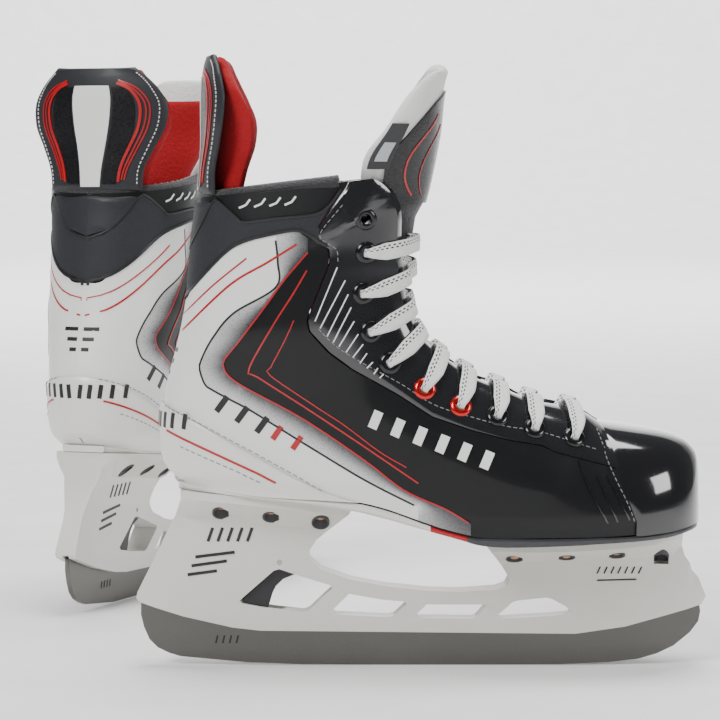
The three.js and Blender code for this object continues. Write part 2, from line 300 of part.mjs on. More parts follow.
// Holder
{
  const xs = [-156, -142, -131, -124, -114, -98, -78, -58, -44, -28, 15, 30, 40, 52, 77, 103, 122, 134, 142, 156];
  const taper = loft(xs.map(x => {
    const zt = (x < -20 ? zb(Math.min(x, -30)) : x > 24 ? zb(Math.max(x, 28)) : 60) - 0.3, f = Math.max(6, flangeHW(x)), n = x < -20 ? 11.5 : 12.5, nn = Math.min(n, f), half = [[f, zt], [f, zt - 4.2], [nn, zt - (x < 0 ? 15 : 12)], [Math.min(8.6, nn), Math.max(34, zt - 34)], [7, 27], [5.6, 10]];
    return [...half.map(([y, z]) => V(x, y, z)), ...half.slice().reverse().map(([y, z]) => V(x, -y, z))];
  }));
  const side = prism(HOLD_OUT, -60, 60, [W1, W2, W3, W4]);
  let h = solid(side).intersect(solid(taper));
  h = h.subtract(solid(prism(SLOT_TOP, -STEEL / 2 - 0.4, STEEL / 2 + 0.4)));
  for (const a of [0, 4, 8, 12, 16, 20, 23]) h = h.subtract(solid(prism(turn(grow(TR, 0.75), TRIG_PIN, a), -SLOT_HALF, SLOT_HALF)));
  h = h.subtract(solid(cyl(PIN_R + 0.12, V(TRIG_PIN[0], 0, TRIG_PIN[1]), V(0, 1, 0), 40, 10)));
  for (const [x, y] of RIV) for (const s of [-1, 1]) {
    const zt = zb(x) - 0.3;
    h = h.subtract(solid(cyl(2.4, V(x, s * y + shear(x), zt), V(0, 0, 1), 12, 5)));
    h = h.subtract(solid(cyl(4.6, V(x, s * y + shear(x), zt - 4.2 - 5.9), V(0, 0, 1), 12, 6)));
  }
  G.blade_holder = geo(h.simplify(0.35));
  G.trigger = geo(solid(prism(TR, -TRIG_HALF, TRIG_HALF)).subtract(solid(cyl(PIN_R + 0.12, V(TRIG_PIN[0], 0, TRIG_PIN[1]), V(0, 1, 0), 40, 10))));
  G.trigger_pin = cyl(PIN_R, V(TRIG_PIN[0], 0, TRIG_PIN[1]), V(0, 1, 0), 16, 10);
  const bottom = RUN_BOT.slice().map(([x, z]) => [x, z]);
  G.runner = prism([...bottom, ...RUN_TOP], -STEEL / 2, STEEL / 2);
  for (const [name, rows] of [['rivets_rear', RIV.slice(0, 3)], ['rivets_front', RIV.slice(3)]]) {
    // Shanks join a thin clinch plate between the outsole and the insole board
    const x0 = rows[0][0] - 5, x1 = rows[rows.length - 1][0] + 5, ym = Math.min(...rows.map(r => r[1])) - 3;
    let r = solid(loft([x0, ...XI.filter(x => x > x0 + 1 && x < x1 - 1), x1].map(x => { const z = zs(x), y = (name === 'rivets_rear' ? (x < -104 ? 14 : 19.8) : 26.5) - (x > 112 ? 6 : 0); const k = shear(x); return [V(x, k - y, z + 0.4), V(x, k + y, z + 0.4), V(x, k + y, z + 1), V(x, k - y, z + 1)]; })));
    r = r.translate ? r : r;
    for (const [x, y] of rows) for (const s of [-1, 1]) {
      const zt = zb(x) - 0.3 - 4.2, top = zs(x) + 0.5;
      const lathe = new THREE.LatheGeometry([[0, zt - 1.6], [2.6, zt - 1.6], [3.8, zt - 0.1], [1.8, zt - 0.1], [1.8, top], [0, top]].map(([a, b]) => new THREE.Vector2(a, b)), 5);
      lathe.rotateX(Math.PI / 2); lathe.translate(x, s * y + shear(x), 0);
      r = r.add(solid(lathe));
    }
    G[name] = geo(r);
  }
}
// Laces: one flat band, out through each eyelet, over its edge, across, and under the far edge
{
  const eyI = EYES.map(([x, z]) => edgeNear(x, z)[1]);
  const pt = (k, s, h) => { const [x, z] = EYES[k], n = NORM(x, z, s), p = V(x, s * w(x, z), z).addScaledVector(n, h); return { p, n, hole: true }; };
  const edge = (i, s, h) => { const [x, z] = Ec(i - 0), q = outward(i), xx = x - q[0] * 0.6, zz = z - q[1] * 0.6, n = NORM(xx, zz, s); return { p: V(xx, s * w(xx, zz), zz).addScaledVector(n, h), n }; };
  const lip = (i, s, h = 3.9) => { const e = edge(i, s, h); e.p.y -= s * 1.4; return e; };
  const midOn = (k, i, s, h) => { // on the skin between the eyelet and its edge
    const a = EYES[k], b = Ec(i), x = lerp(a[0], b[0], 0.5), z = lerp(a[1], b[1], 0.5), n = NORM(x, z, s); return { p: V(x, s * w(x, z), z).addScaledVector(n, h), n };
  };
  const over = (i, y, h) => { const f = Math.asin(clamp(y / loW(i), -1, 1)), q = outward(i), p = tongueLow(i, f), n = V(q[0] * Math.cos(f), Math.sin(f), q[1] * Math.cos(f)).normalize(); return { p: p.addScaledVector(n, h), n }; };
  const span = (k, s) => { // from eyelet k on side s to eyelet k + 1 on the other
    const a = eyI[k], b = eyI[k + 1], at = u => lerp(a, b, u), up = s < 0 ? 1 : -1, ws = Math.abs(edge(at(0.25), s, 0).p.y);
    return [pt(k, s, -6.4), pt(k, s, 4.6), midOn(k, at(0.12), s, k ? 3.4 : 4.6), lip(at(0.25), s, k ? 3.9 : 4.6), over(at(0.38), s * ws * 0.45, 3.6), over(at(0.5), 0, up > 0 ? 3.6 : 1.4), over(at(0.62), -s * ws * 0.5, 1.6), edge(at(0.78), -s, -SHELL - 2.8), midOn(k + 1, at(0.9), -s, -SHELL - 3.4)];
  };
  const run = s => { let L = [], q = s; for (let k = 0; k < 8; k++) { L.push(...span(k, q)); q = -q; } L.push(pt(8, q, -6.4), pt(8, q, 4.6), midOn(8, eyI[8] + 0.15, q, 3.4), lip(eyI[8] + 0.35, q)); return L; };
  const UPN = V(0.25, 0, 0.97), at0 = (y, z) => ({ p: V(80.5, y, z), n: UPN.clone() });
  const base = [at0(-23, 123.6), at0(-13, 130.2), at0(0, 132.6), at0(13, 130.2), at0(23, 123.6)];
  const L = [...run(-1).reverse(), ...base, ...run(1)];
  const A = [];
  for (let k = 0; k < L.length; k++) {
    const a = L[Math.max(0, k - 1)].p, b = L[Math.min(L.length - 1, k + 1)].p; L[k].t = b.clone().sub(a).normalize();
    if (!L[k].hole) L[k].b = L[k].t.clone().cross(L[k].n).normalize();
  }
  for (let k = 0; k < L.length; k++) if (L[k].hole) {
    let i = k, j = k; while (i > 0 && L[i].hole) i--; while (j < L.length - 1 && L[j].hole) j++;
    const p = L[i].b || L[j].b, q = L[j].b || p; L[k].b = p.clone().add(q.clone().multiplyScalar(p.dot(q) < 0 ? -1 : 1)).normalize();
  }
  let prev = null;
  for (const c of L) {
    if (prev && prev.dot(c.b) < 0) c.b.negate();
    prev = c.b; const n = c.b.clone().cross(c.t).normalize(), W = (c.hole ? 3.2 : LACE_W) / 2, T = LACE_T / 2;
    A.push([c.p.clone().addScaledVector(c.b, W).addScaledVector(n, T), c.p.clone().addScaledVector(c.b, W).addScaledVector(n, -T), c.p.clone().addScaledVector(c.b, -W).addScaledVector(n, -T), c.p.clone().addScaledVector(c.b, -W).addScaledVector(n, T)]);
  }
  const verts = A.flat(), tris = [], n = 4;
  for (let k = 0; k < A.length - 1; k++) for (let j = 0; j < n; j++) { const a = k * n + j, b = k * n + (j + 1) % n; tris.push([a, b, b + n], [a, b + n, a + n]); }
  tris.push([2, 1, 0], [3, 2, 0]); const z = (A.length - 1) * n; tris.push([z, z + 1, z + 2], [z, z + 2, z + 3]);
  G.laces = bend(build(verts, tris));
}

// Close-fitting neighbours: the first of each row is trimmed by the rest
const TRIM = [['quarter_lateral', 'toe_cap', 'outsole'], ['quarter_medial', 'toe_cap', 'outsole'], ['heel_cap', 'quarter_lateral', 'quarter_medial', 'outsole'], ['insole_board', 'quarter_lateral', 'quarter_medial', 'rivets_rear', 'rivets_front', 'toe_cap'],
  ['footbed', 'quarter_lateral', 'quarter_medial', 'insole_board', 'toe_cap'], ['inner_liner', 'quarter_lateral', 'quarter_medial'], ['eyelets_lateral', 'eyestay_lateral'], ['eyelets_medial', 'eyestay_medial'], ['laces', 'eyestay_lateral', 'eyestay_medial', 'eyelets_lateral', 'eyelets_medial', 'tongue_lower']];
for (const [name, ...by] of TRIM) {
  let m = solid(G[name]);
  for (const b of by) m = m.subtract(solid(G[b]));
  G[name] = geo(m.decompose().sort((p, q) => q.volume() - p.volume())[0].simplify(0.005));
}
const LOOK = {
  quarter_lateral: [0xb9bcc0, 0.1, 0.35], quarter_medial: [0xb9bcc0, 0.1, 0.35], eyestay_lateral: [0x16171a, 0, 0.25], eyestay_medial: [0x16171a, 0, 0.25],
  eyelets_lateral: [0x222326, 0.7, 0.35], eyelets_medial: [0x222326, 0.7, 0.35], heel_cap: [0xd8dade, 0, 0.35], toe_cap: [0x101113, 0, 0.2], outsole: [0x26282b, 0, 0.5],
  insole_board: [0x5a4a3a, 0, 0.8], footbed: [0x2a2b2e, 0, 0.9], inner_liner: [0x9a1420, 0, 0.9], tongue_lower: [0x1a1b1e, 0, 0.8], tongue_upper: [0xe9e9e6, 0, 0.95],
  tongue_shield: [0x141518, 0, 0.3], tongue_size_tag: [0x8a8d90, 0, 0.6], tendon_guard: [0x3c3f44, 0, 0.45], tendon_pad: [0xb3141f, 0, 0.9], blade_holder: [0xe4e3de, 0, 0.4],
  runner: [0x8c8a84, 0.9, 0.35], trigger: [0x1a1b1d, 0, 0.45], trigger_pin: [0xa0a2a5, 0.9, 0.3], rivets_rear: [0xb07a4a, 0.9, 0.35], rivets_front: [0xb07a4a, 0.9, 0.35], laces: [0xf2f2f0, 0, 0.9],
};
function skate(prefix) {
  const g = new THREE.Group(); g.name = prefix + '_skate';
  for (const [name, [c, metalness, roughness]] of Object.entries(LOOK)) {
    const m = new THREE.Mesh(G[name].clone(), new THREE.MeshStandardMaterial({ color: c, metalness, roughness }));
    m.name = prefix + '_' + name; g.add(m);
  }
  return g;
}
const right = skate('right'), left = skate('left');
left.scale.y = -1; left.rotation.z = YAW * Math.PI / 180; left.position.set(LEFT_AT[0], LEFT_AT[1], 0);
const group = new THREE.Group(); group.name = 'hockey_skates'; group.add(right, left); group.updateMatrixWorld(true);
const bb = new THREE.Box3().setFromObject(group, true), c = bb.getCenter(V(0, 0, 0));
for (const s of [right, left]) { s.position.x -= c.x; s.position.y -= c.y; s.position.z -= bb.min.z; }
group.updateMatrixWorld(true);
export default group;
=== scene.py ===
"""Looks of a pair of ice hockey skates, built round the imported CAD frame. Local lengths are mm, toe to +X, lateral side to -Y; put() places each piece on both skates."""
import math
import bpy, bmesh
import numpy as np
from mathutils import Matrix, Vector, geometry as mg


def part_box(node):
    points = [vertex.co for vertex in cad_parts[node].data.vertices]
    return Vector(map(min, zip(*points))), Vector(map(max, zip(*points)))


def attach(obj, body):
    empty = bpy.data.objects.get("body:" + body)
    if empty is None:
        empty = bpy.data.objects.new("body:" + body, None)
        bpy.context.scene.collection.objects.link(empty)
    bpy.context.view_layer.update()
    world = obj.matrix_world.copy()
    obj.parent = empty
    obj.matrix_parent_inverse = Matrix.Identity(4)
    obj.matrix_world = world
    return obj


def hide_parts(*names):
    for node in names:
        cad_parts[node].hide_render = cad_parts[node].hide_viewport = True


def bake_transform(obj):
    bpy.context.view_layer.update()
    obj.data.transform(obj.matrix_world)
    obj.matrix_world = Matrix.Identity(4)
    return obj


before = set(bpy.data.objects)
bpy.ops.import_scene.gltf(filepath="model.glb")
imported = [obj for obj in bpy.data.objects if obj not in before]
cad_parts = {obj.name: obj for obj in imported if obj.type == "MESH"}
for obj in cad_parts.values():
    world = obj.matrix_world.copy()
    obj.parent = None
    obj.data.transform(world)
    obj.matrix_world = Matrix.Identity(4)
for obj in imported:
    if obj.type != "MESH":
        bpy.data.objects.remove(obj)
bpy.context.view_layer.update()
PX = 0.53
T = {
 'E': [[95.4,130.4],[85.3,136.7],[74.2,139.7],[63.6,141.8],[55.1,144.2],[44.5,148.7],[36.6,151.8],[28.1,155.3],[19.6,160.6],[13.2,165.4],[7.4,170.1],[2.7,174.4],[-1.1,179.7],[-4.2,186.0],[-6.4,192.9],[-8.0,199.8],[-9.0,206.7],[-9.5,213.6],[-10.1,220.5],[-10.1,227.4],[-10.1,233.7],[-10.1,239.6],[-10.6,244.3],[-12.2,249.1],[-14.8,253.3],[-19.6,257.1],[-24.9,259.4]],
 'O': [[116.6,74.7],[102.3,73.7],[87.5,73.1],[72.6,73.0],[58.3,73.0],[44.0,72.6],[29.7,73.1],[13.8,76.3],[-2.7,81.4],[-21.2,87.5],[-39.8,90.8],[-61.0,92.0],[-83.7,93.5],[-107.6,97.3],[-124.0,99.4],[-133.0,106.5],[-135.7,117.7],[-136.2,130.9],[-135.4,142.6],[-132.5,156.3],[-129.3,168.0],[-126.1,181.3],[-123.8,194.5],[-122.2,210.4],[-120.6,226.3],[-118.7,239.6],[-117.9,249.1]],
 'HOLD_OUT': [[-126.7,104.4],[-126.3,91.2],[-129.3,81.6],[-134.1,72.6],[-138.9,62.1],[-145.6,48.8],[-150.1,39.8],[-150.7,36.8],[-149.4,34.6],[-136.7,30.2],[-125.6,26.8],[-114.5,24.2],[-99.6,20.8],[-84.8,19.1],[-42.4,17.5],[-4.3,16.5],[44.4,16.4],[65.2,16.6],[82.7,17.4],[109.1,21.3],[135.5,28.8],[149.5,33.2],[152.1,37.6],[147.8,48.1],[144.2,51.6],[143.1,55.7],[139.9,60.4],[138.5,65.7],[138.9,77.9],[30.7,77.9],[31.8,68.9],[36.3,64.2],[41.9,56.6],[46.0,50.0],[47.2,46.8],[45.6,43.6],[40.3,41.6],[20.0,40.3],[3.7,40.8],[-20.7,43.6],[-36.8,46.8],[-53.0,52.5],[-58.6,57.8],[-59.0,61.5],[-54.9,68.1],[-42.4,78.7],[-37.6,82.4],[-33.9,88.5],[-33.9,104.4]],
 'W1': [[-95.8,35.4],[-77.6,51.4],[-74.7,52.3],[-66.0,49.4],[-47.4,43.5],[-46.4,41.9],[-58.6,30.5],[-61.5,29.2],[-80.9,31.3],[-94.3,33.7]],
 'W2': [[-37.6,39.0],[-20.6,35.9],[-7.7,34.8],[-7.2,33.3],[-14.0,27.0],[-17.3,26.5],[-44.9,27.9],[-47.2,29.4]],
 'W3': [[3.7,33.4],[34.5,33.4],[35.0,32.3],[29.7,26.2],[28.1,25.7],[-1.1,25.9],[-2.4,27.5]],
 'W4': [[40.7,26.7],[49.2,34.7],[52.5,35.6],[67.0,37.1],[70.4,36.3],[77.4,32.3],[80.8,29.4],[79.2,28.1],[65.2,26.6],[41.6,25.4]],
 'TRIG': [[-95.1,35.2],[-77.6,50.9],[-74.9,51.8],[-66.2,49.2],[-72.7,46.5],[-76.5,42.8],[-78.3,39.1],[-80.6,31.5],[-93.8,33.8]],
 'RUN_BOT': [[-148.6,33.9],[-148.7,27.2],[-147.1,20.5],[-144.2,13.8],[-139.7,9.3],[-133.7,6.4],[-127.7,4.6],[-114.5,2.9],[-92.2,1.3],[-63.6,0.4],[-31.8,0.0],[42.4,0.0],[74.2,0.3],[100.2,1.3],[116.6,3.2],[126.7,6.1],[135.5,10.3],[144.2,17.5],[148.7,23.5],[149.7,28.8],[149.1,33.2]],
 'SOLE_TOP': [[-130.9,100.2],[-107.6,97.0],[-83.7,93.3],[-51.4,91.2],[-35.0,90.1],[-18.8,86.7],[2.7,79.5],[13.6,76.1],[31.8,72.7],[60.4,72.5],[102.3,73.1],[127.7,74.7],[144.7,77.4]],
 'SOLE_BOT': [[-126.7,95.7],[-107.6,94.3],[-83.7,92.2],[-51.4,88.5],[-32.3,85.3],[-12.5,80.6],[3.7,76.3],[20.0,72.0],[31.8,68.9],[43.5,68.1],[76.9,68.9],[102.3,70.2],[127.7,71.9],[143.1,74.5]],
 'EYES': [[79.7,124.1],[59.1,128.9],[39.7,135.5],[20.6,140.9],[1.9,150.0],[-16.0,163.5],[-26.0,179.9],[-30.2,199.8],[-28.4,221.0],[-28.9,238.5]],
 'TOE_TOP': [[96.5,129.8],[111.0,127.7],[127.9,124.7],[138.9,120.8],[144.8,115.9],[147.3,109.9],[147.9,88.8],[146.9,79.5]],
}

def pchip(tab):
    X = np.array([r[0] for r in tab], float); Y = np.array([r[1] for r in tab], float)
    d = np.diff(Y) / np.diff(X); m = np.empty_like(Y); m[0] = d[0]; m[-1] = d[-1]
    for i in range(1, len(X) - 1):
        m[i] = 0 if d[i - 1] * d[i] <= 0 else 2 * d[i - 1] * d[i] / (d[i - 1] + d[i])
    def f(x):
        x = np.asarray(x, float); i = np.clip(np.searchsorted(X, x, side="right") - 1, 0, len(X) - 2)
        h = X[i + 1] - X[i]; t = (x - X[i]) / h; t2 = t * t; t3 = t2 * t
        v = (2 * t3 - 3 * t2 + 1) * Y[i] + (t3 - 2 * t2 + t) * h * m[i] + (3 * t2 - 2 * t3) * Y[i + 1] + (t3 - t2) * h * m[i + 1]
        v = np.where(x < X[0], Y[0] + m[0] * (x - X[0]), v)
        return np.where(x > X[-1], Y[-1] + m[-1] * (x - X[-1]), v)
    return f

def spline(P):
    P = np.array(P, float); n = len(P)
    Q = np.vstack([2 * P[0] - P[1], P, 2 * P[-1] - P[-2]])
    def f(u):
        u = np.asarray(u, float); i = np.clip(np.floor(u).astype(int), 0, n - 2); t = (u - i)[..., None]
        a, b, c, e = Q[i], Q[i + 1], Q[i + 2], Q[i + 3]
        v = 0.5 * (2 * b + (c - a) * t + (2 * a - 5 * b + 4 * c - e) * t * t + (3 * b - a - 3 * c + e) * t ** 3)
        lin = b + (c - b) * t
        return np.where((t < 0) | (t > 1), lin, v)
    return f

def sst(a, b, x):
    t = np.clip((np.asarray(x, float) - a) / (b - a), 0, 1); return t * t * (3 - 2 * t)

def pxs(L): return [((x - 420) * PX, (667 - y) * PX) for x, y in L]
Ec, Oc = spline(T['E']), spline(T['O'])
xb = pchip([(z, x) for x, z in pxs([(195, 492), (186, 479.5), (169, 466), (164, 445), (163, 420), (164.5, 398), (170, 372), (176, 350), (182, 325), (186.5, 300), (189.5, 270), (192.5, 240), (196, 215), (197.5, 197), (198.5, 180)])])
zs, zb, zTop = pchip(T['SOLE_TOP']), pchip(T['SOLE_BOT']), pchip(T['TOE_TOP'])
Az = pchip([(85, 30), (105, 32.5), (125, 33.5), (145, 35), (165, 38.5), (182, 41), (200, 41), (220, 41), (240, 42.5), (262, 45)])
Bx = pchip([(-60, 34), (-30, 36.5), (0, 41), (30, 46), (60, 49), (85, 49), (105, 47), (120, 44)])
weI = pchip([(0, 14), (5, 17), (10, 20), (15, 23), (20, 27), (24, 31), (26, 36)])
zEdge = pchip(T['E'][:10][::-1])
NOSE = (699 - 420) * PX
def Bc(x):
    x = np.asarray(x, float); return np.where(x < 88, 48, 48 * np.maximum(0, 1 - np.maximum(0, (x - 88) / (NOSE - 88)) ** 2.5) ** 0.4)
EI = np.arange(0, 26.01, 0.25); ES = Ec(EI)
def edge_near(x, z):
    x, z = np.broadcast_arrays(np.asarray(x, float), np.asarray(z, float)); s = x.shape; p = np.stack([x.ravel(), z.ravel()], 1)
    out_d = np.empty(len(p)); out_i = np.empty(len(p)); a = ES[:-1]; d = ES[1:] - a; L = (d ** 2).sum(1)
    for k in range(0, len(p), 4000):
        q = p[k:k + 4000, None] - a[None]; t = np.clip((q * d).sum(2) / L, 0, 1); r = np.hypot(*(q - d * t[..., None]).transpose(2, 0, 1)); j = r.argmin(1); n = np.arange(len(j))
        out_d[k:k + 4000] = r[n, j]; out_i[k:k + 4000] = EI[j] + 0.25 * t[n, j]
    return out_d.reshape(s), out_i.reshape(s)
def cap_w(x, z):
    s = zs(x); h = np.where(x < T['E'][0][0], zEdge(x) + 0.5, zTop(np.maximum(x, 95))); q = np.clip((z - s - 8) / (h - s - 8), 0, 1)
    return Bc(x) * (1 - q ** 2.3) ** (1 / 2.3)
def w(x, z):
    x = np.asarray(x, float); z = np.asarray(z, float); d, i = edge_near(x, z); we = weI(i); b = sst(-70, -5, x)
    W0 = Az(z) * (1 - b) + Bx(x) * b; k = sst(8, 16, i); R = 44 + 11 * k; p = 1.75 + 0.15 * k
    r = (1 - np.clip(1 - d / R, 0, 1) ** p) ** (1 / p); v = we + (W0 - we) * r
    c = sst(60, 96, x); v = np.where(c > 0, np.maximum(13, v + (cap_w(x, z) - v) * c), v)
    H = (1 - np.clip(1 - (x - xb(z)) / 48, 0, 1) ** 2.1) ** (1 / 2.1)
    return v * H * (0.93 + 0.07 * sst(0, 12, z - zs(x)))
def shear(x): return 4.5 * sst(-30, 140, x)
CONT = pxs([(352, 174), (346, 187), (316, 230), (314, 237), (329, 247), (330, 260), (308, 315), (310, 327), (329, 348), (352, 365), (398, 390), (431, 411), (470, 424), (508, 434), (539, 439), (550, 445), (609, 461), (640, 470)])
def contour_t(i):
    a, b = Oc(i), Ec(i); best = 0.5
    for p, q in zip(CONT, CONT[1:]):
        r = b - a; s = np.subtract(q, p); den = r[0] * s[1] - r[1] * s[0]
        if abs(den) < 1e-9: continue
        t = ((p[0] - a[0]) * s[1] - (p[1] - a[1]) * s[0]) / den; v = ((p[0] - a[0]) * r[1] - (p[1] - a[1]) * r[0]) / den
        if 0 <= v <= 1 and 0.3 < t < 0.97: best = t
    return best
tc = pchip([(i, contour_t(i)) for i in np.arange(0, 26.01, 0.25)])
def skin(x, z, s, h=0.15):
    return np.stack([x, s * (w(x, z) + h), z], -1)
def expo(i): return 1 + 0.9 * sst(9.5, 14, i)

# ---- placing -------------------------------------------------------------
TH = math.radians(67)
B = {n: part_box("right_" + n) for n in ("runner",)}
RO = np.array([B["runner"][0].x * 1000 + 148.559, (B["runner"][0].y + B["runner"][1].y) * 500, 0.0])
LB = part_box("left_trigger_pin"); LC = np.array([(LB[0].x + LB[1].x) * 500, (LB[0].y + LB[1].y) * 500])
LO = np.array([LC[0] + 74.5 * math.cos(TH), LC[1] + 74.5 * math.sin(TH), 0.0])
def to_world(v, side, bend=True):
    v = np.array(v, float).reshape(-1, 3).copy()
    if bend: v[:, 1] += shear(v[:, 0])
    if side == "right": return (v + RO) / 1000
    x, y = v[:, 0].copy(), -v[:, 1].copy()
    return np.stack([x * math.cos(TH) - y * math.sin(TH) + LO[0], x * math.sin(TH) + y * math.cos(TH) + LO[1], v[:, 2]], 1) / 1000
PIECES = {}
def mesh(name, verts, faces, side, mat, bend=True, smooth=True, angle=None, mats=None, fmat=None):
    V = to_world(verts, side, bend); F = [tuple(reversed(f)) for f in faces] if side == "left" else [tuple(f) for f in faces]
    me = bpy.data.meshes.new(name); me.from_pydata(V.tolist(), [], F); me.validate()
    at = me.attributes.new("loc", "FLOAT_VECTOR", "POINT"); at.data.foreach_set("vector", np.array(verts, np.float32).reshape(-1, 3).ravel() / 1000)
    bm = bmesh.new(); bm.from_mesh(me); bmesh.ops.recalc_face_normals(bm, faces=bm.faces); bm.to_mesh(me); bm.free()
    for m in (mats or [mat]): me.materials.append(m)
    if fmat is not None and len(fmat) == len(me.polygons): me.polygons.foreach_set("material_index", np.array(fmat, np.int32))
    me.polygons.foreach_set("use_smooth", [smooth] * len(me.polygons))
    if angle: me.set_sharp_from_angle(angle=math.radians(angle))
    ob = bpy.data.objects.new(name, me); bpy.context.scene.collection.objects.link(ob)
    return ob
def put(name, verts, faces, mat, body="boot", rep=(), slot=None, padded=None, blend=None, bend=True, smooth=True, angle=40, bevel=None, subd=0, mats=None, fmat=None):
    for side in ("right", "left"):
        ob = mesh(side + "_v_" + name, verts, faces, side, mat, bend, smooth, angle, mats, fmat)
        if bevel:
            m = ob.modifiers.new("bevel", "BEVEL"); m.width = bevel / 1000; m.segments = 2; m.limit_method = "ANGLE"; m.angle_limit = math.radians(35); m.harden_normals = False
        if subd:
            m = ob.modifiers.new("sub", "SUBSURF"); m.levels = subd; m.render_levels = subd
        if blend: tuple(to_world([blend[2]], side)[0]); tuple(to_world([blend[3]], side)[0]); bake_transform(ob)
        else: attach(ob, side + "_" + body)
        if rep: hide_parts(*[side + "_" + r for r in rep])
        PIECES[ob.name] = ob

# ---- grids ---------------------------------------------------------------
def grid_faces(nu, nv, off=0, flip=False):
    F = []
    for i in range(nu - 1):
        for j in range(nv - 1):
            q = (off + i * nv + j, off + (i + 1) * nv + j, off + (i + 1) * nv + j + 1, off + i * nv + j + 1); F.append(q[::-1] if flip else q)
    return F
def thick(P, h0, h1, ref, N=None):
    """Closed sheet between offsets h0 and h1 of a grid P [nu, nv, 3]; offsets may be arrays. N are the outward normals."""
    nu, nv = P.shape[:2]
    if N is None:
        du = np.gradient(P, axis=0); dv = np.gradient(P, axis=1); N = np.cross(du, dv); N /= np.maximum(np.linalg.norm(N, axis=2, keepdims=True), 1e-9)
    m = (nu // 2, nv // 2); s = 1 if (N[m] * (P[m] - np.array(ref))).sum() > 0 else -1
    h0 = np.broadcast_to(np.asarray(h0, float), (nu, nv))[..., None]; h1 = np.broadcast_to(np.asarray(h1, float), (nu, nv))[..., None]
    A = P + s * N * h1; C = P + s * N * h0; n = nu * nv
    F = grid_faces(nu, nv) + grid_faces(nu, nv, n, True)
    o = lambda i, j: i * nv + j
    for i in range(nu - 1):
        F.append((o(i + 1, 0), o(i, 0), n + o(i, 0), n + o(i + 1, 0))); F.append((o(i, nv - 1), o(i + 1, nv - 1), n + o(i + 1, nv - 1), n + o(i, nv - 1)))
    for j in range(nv - 1):
        F.append((o(0, j), o(0, j + 1), n + o(0, j + 1), n + o(0, j))); F.append((o(nu - 1, j + 1), o(nu - 1, j), n + o(nu - 1, j), n + o(nu - 1, j + 1)))
    return np.concatenate([A.reshape(-1, 3), C.reshape(-1, 3)]), F
def skin_normal(x, z, s):
    e = 0.4; xl = np.maximum(x - e, np.minimum(xb(z) + 1e-4, x)); wx = (w(x + e, z) - w(xl, z)) / (x + e - xl); wz = (w(x, z + e) - w(x, z - e)) / (2 * e)
    near = np.clip((x - xb(z)) / 0.5, 0, 1); wx = np.clip(wx, -20, 20) + 40 * (1 - near); wz = wz * near - (1 - near) * 0; sx = (xb(z + 1) - xb(z - 1)) / 2
    wz = wz - (1 - near) * wx * sx * 1.0
    n = np.stack([-wx, np.full_like(wx, s), -wz], -1); return n / np.linalg.norm(n, axis=-1, keepdims=True)

# ---- side view pixels to the lateral surface -----------------------------
CAMX, CAMZ, DIST = -31.8, 268.9, 1638.0
def onto(P, it=3):
    """Side-view drawing points to mm on the lateral skin, allowing for the skin standing nearer the eye than the middle."""
    P = np.array(P, float); k = np.ones(len(P))
    for _ in range(it):
        x = CAMX + (P[:, 0] - 360) * PX * k; z = CAMZ - (P[:, 1] - 160) * PX * k; k = 1 - w(x, z) / DIST
    return np.stack([x, z], 1)
def smooth_line(P, step=2.0, closed=False):
    P = np.array(P, float); f = spline(P); L = np.linalg.norm(np.diff(P, axis=0), axis=1); u = np.concatenate([np.linspace(i, i + 1, max(2, int(l / step) + 1))[:-1] for i, l in enumerate(L)] + [[len(P) - 1]])
    return f(u)
def gmap(d): return np.where(d < 20, np.sqrt(np.maximum(d, 0) * 20), d)
def gback(g): return np.where(g < 20, g * g / 20, g)
def patch(poly, h, t, s, grid=2.6):
    """Thin raised panel: a side-view polygon laid on the skin of side s, h mm up and t mm thick."""
    raw = np.array(poly, float); raw[:, 0] = np.maximum(raw[:, 0], xb(raw[:, 1]))
    poly = np.stack([gmap(raw[:, 0] - xb(raw[:, 1])), raw[:, 1]], 1); n = len(poly); lo, hi = poly.min(0), poly.max(0); nxt = np.roll(poly, -1, 0); dd = nxt - poly
    g = np.array([(x, z) for x in np.arange(lo[0] + grid / 2, hi[0], grid) for z in np.arange(lo[1] + grid / 2, hi[1], grid)])
    cr_ = (poly[None, :, 1] > g[:, None, 1]) != (nxt[None, :, 1] > g[:, None, 1]); dz = np.where(np.abs(dd[:, 1]) < 1e-9, 1e-9, dd[:, 1])
    ins = ((cr_ & (g[:, None, 0] < dd[None, :, 0] * (g[:, None, 1] - poly[None, :, 1]) / dz[None] + poly[None, :, 0])).sum(1) % 2) == 1
    q = g[:, None] - poly[None]; u = np.clip((q * dd[None]).sum(2) / np.maximum((dd * dd).sum(1), 1e-9), 0, 1); far = np.hypot(*(q - dd[None] * u[..., None]).transpose(2, 0, 1)).min(1)
    pts = [Vector(p) for p in poly] + [Vector(p) for p in g[ins & (far > grid * 0.4)]]
    co, _, tri, *_ = mg.delaunay_2d_cdt(pts, [(i, (i + 1) % n) for i in range(n)], [list(range(n))], 1, 1e-5)
    co = np.array([tuple(c) for c in co]); z = co[:, 1]; d = gback(co[:, 0]); x = xb(z) + d
    y = s * (w(x, z) + 0.15); y[d < 0.05] = 0; base = np.stack([x, y, z], 1); N = skin_normal(x, z, s); top = base + N * (h + t); bot = base + N * h; m = len(co)
    F = [tuple(f) for f in tri] + [tuple(m + i for i in reversed(f)) for f in tri]
    cnt = set()
    for f in tri:
        for a, b_ in zip(f, f[1:] + f[:1]): cnt.add((a, b_))
    for (a, b_) in sorted(cnt):
        if (b_, a) not in cnt: F.append((b_, a, m + a, m + b_))
    return np.concatenate([top, bot]), F
def both(fn):
    """Joins fn(-1) and fn(1) into one piece."""
    (a, f), (b, g) = fn(-1), fn(1); return np.concatenate([a, b]), list(f) + [tuple(i + len(a) for i in q) for q in g]
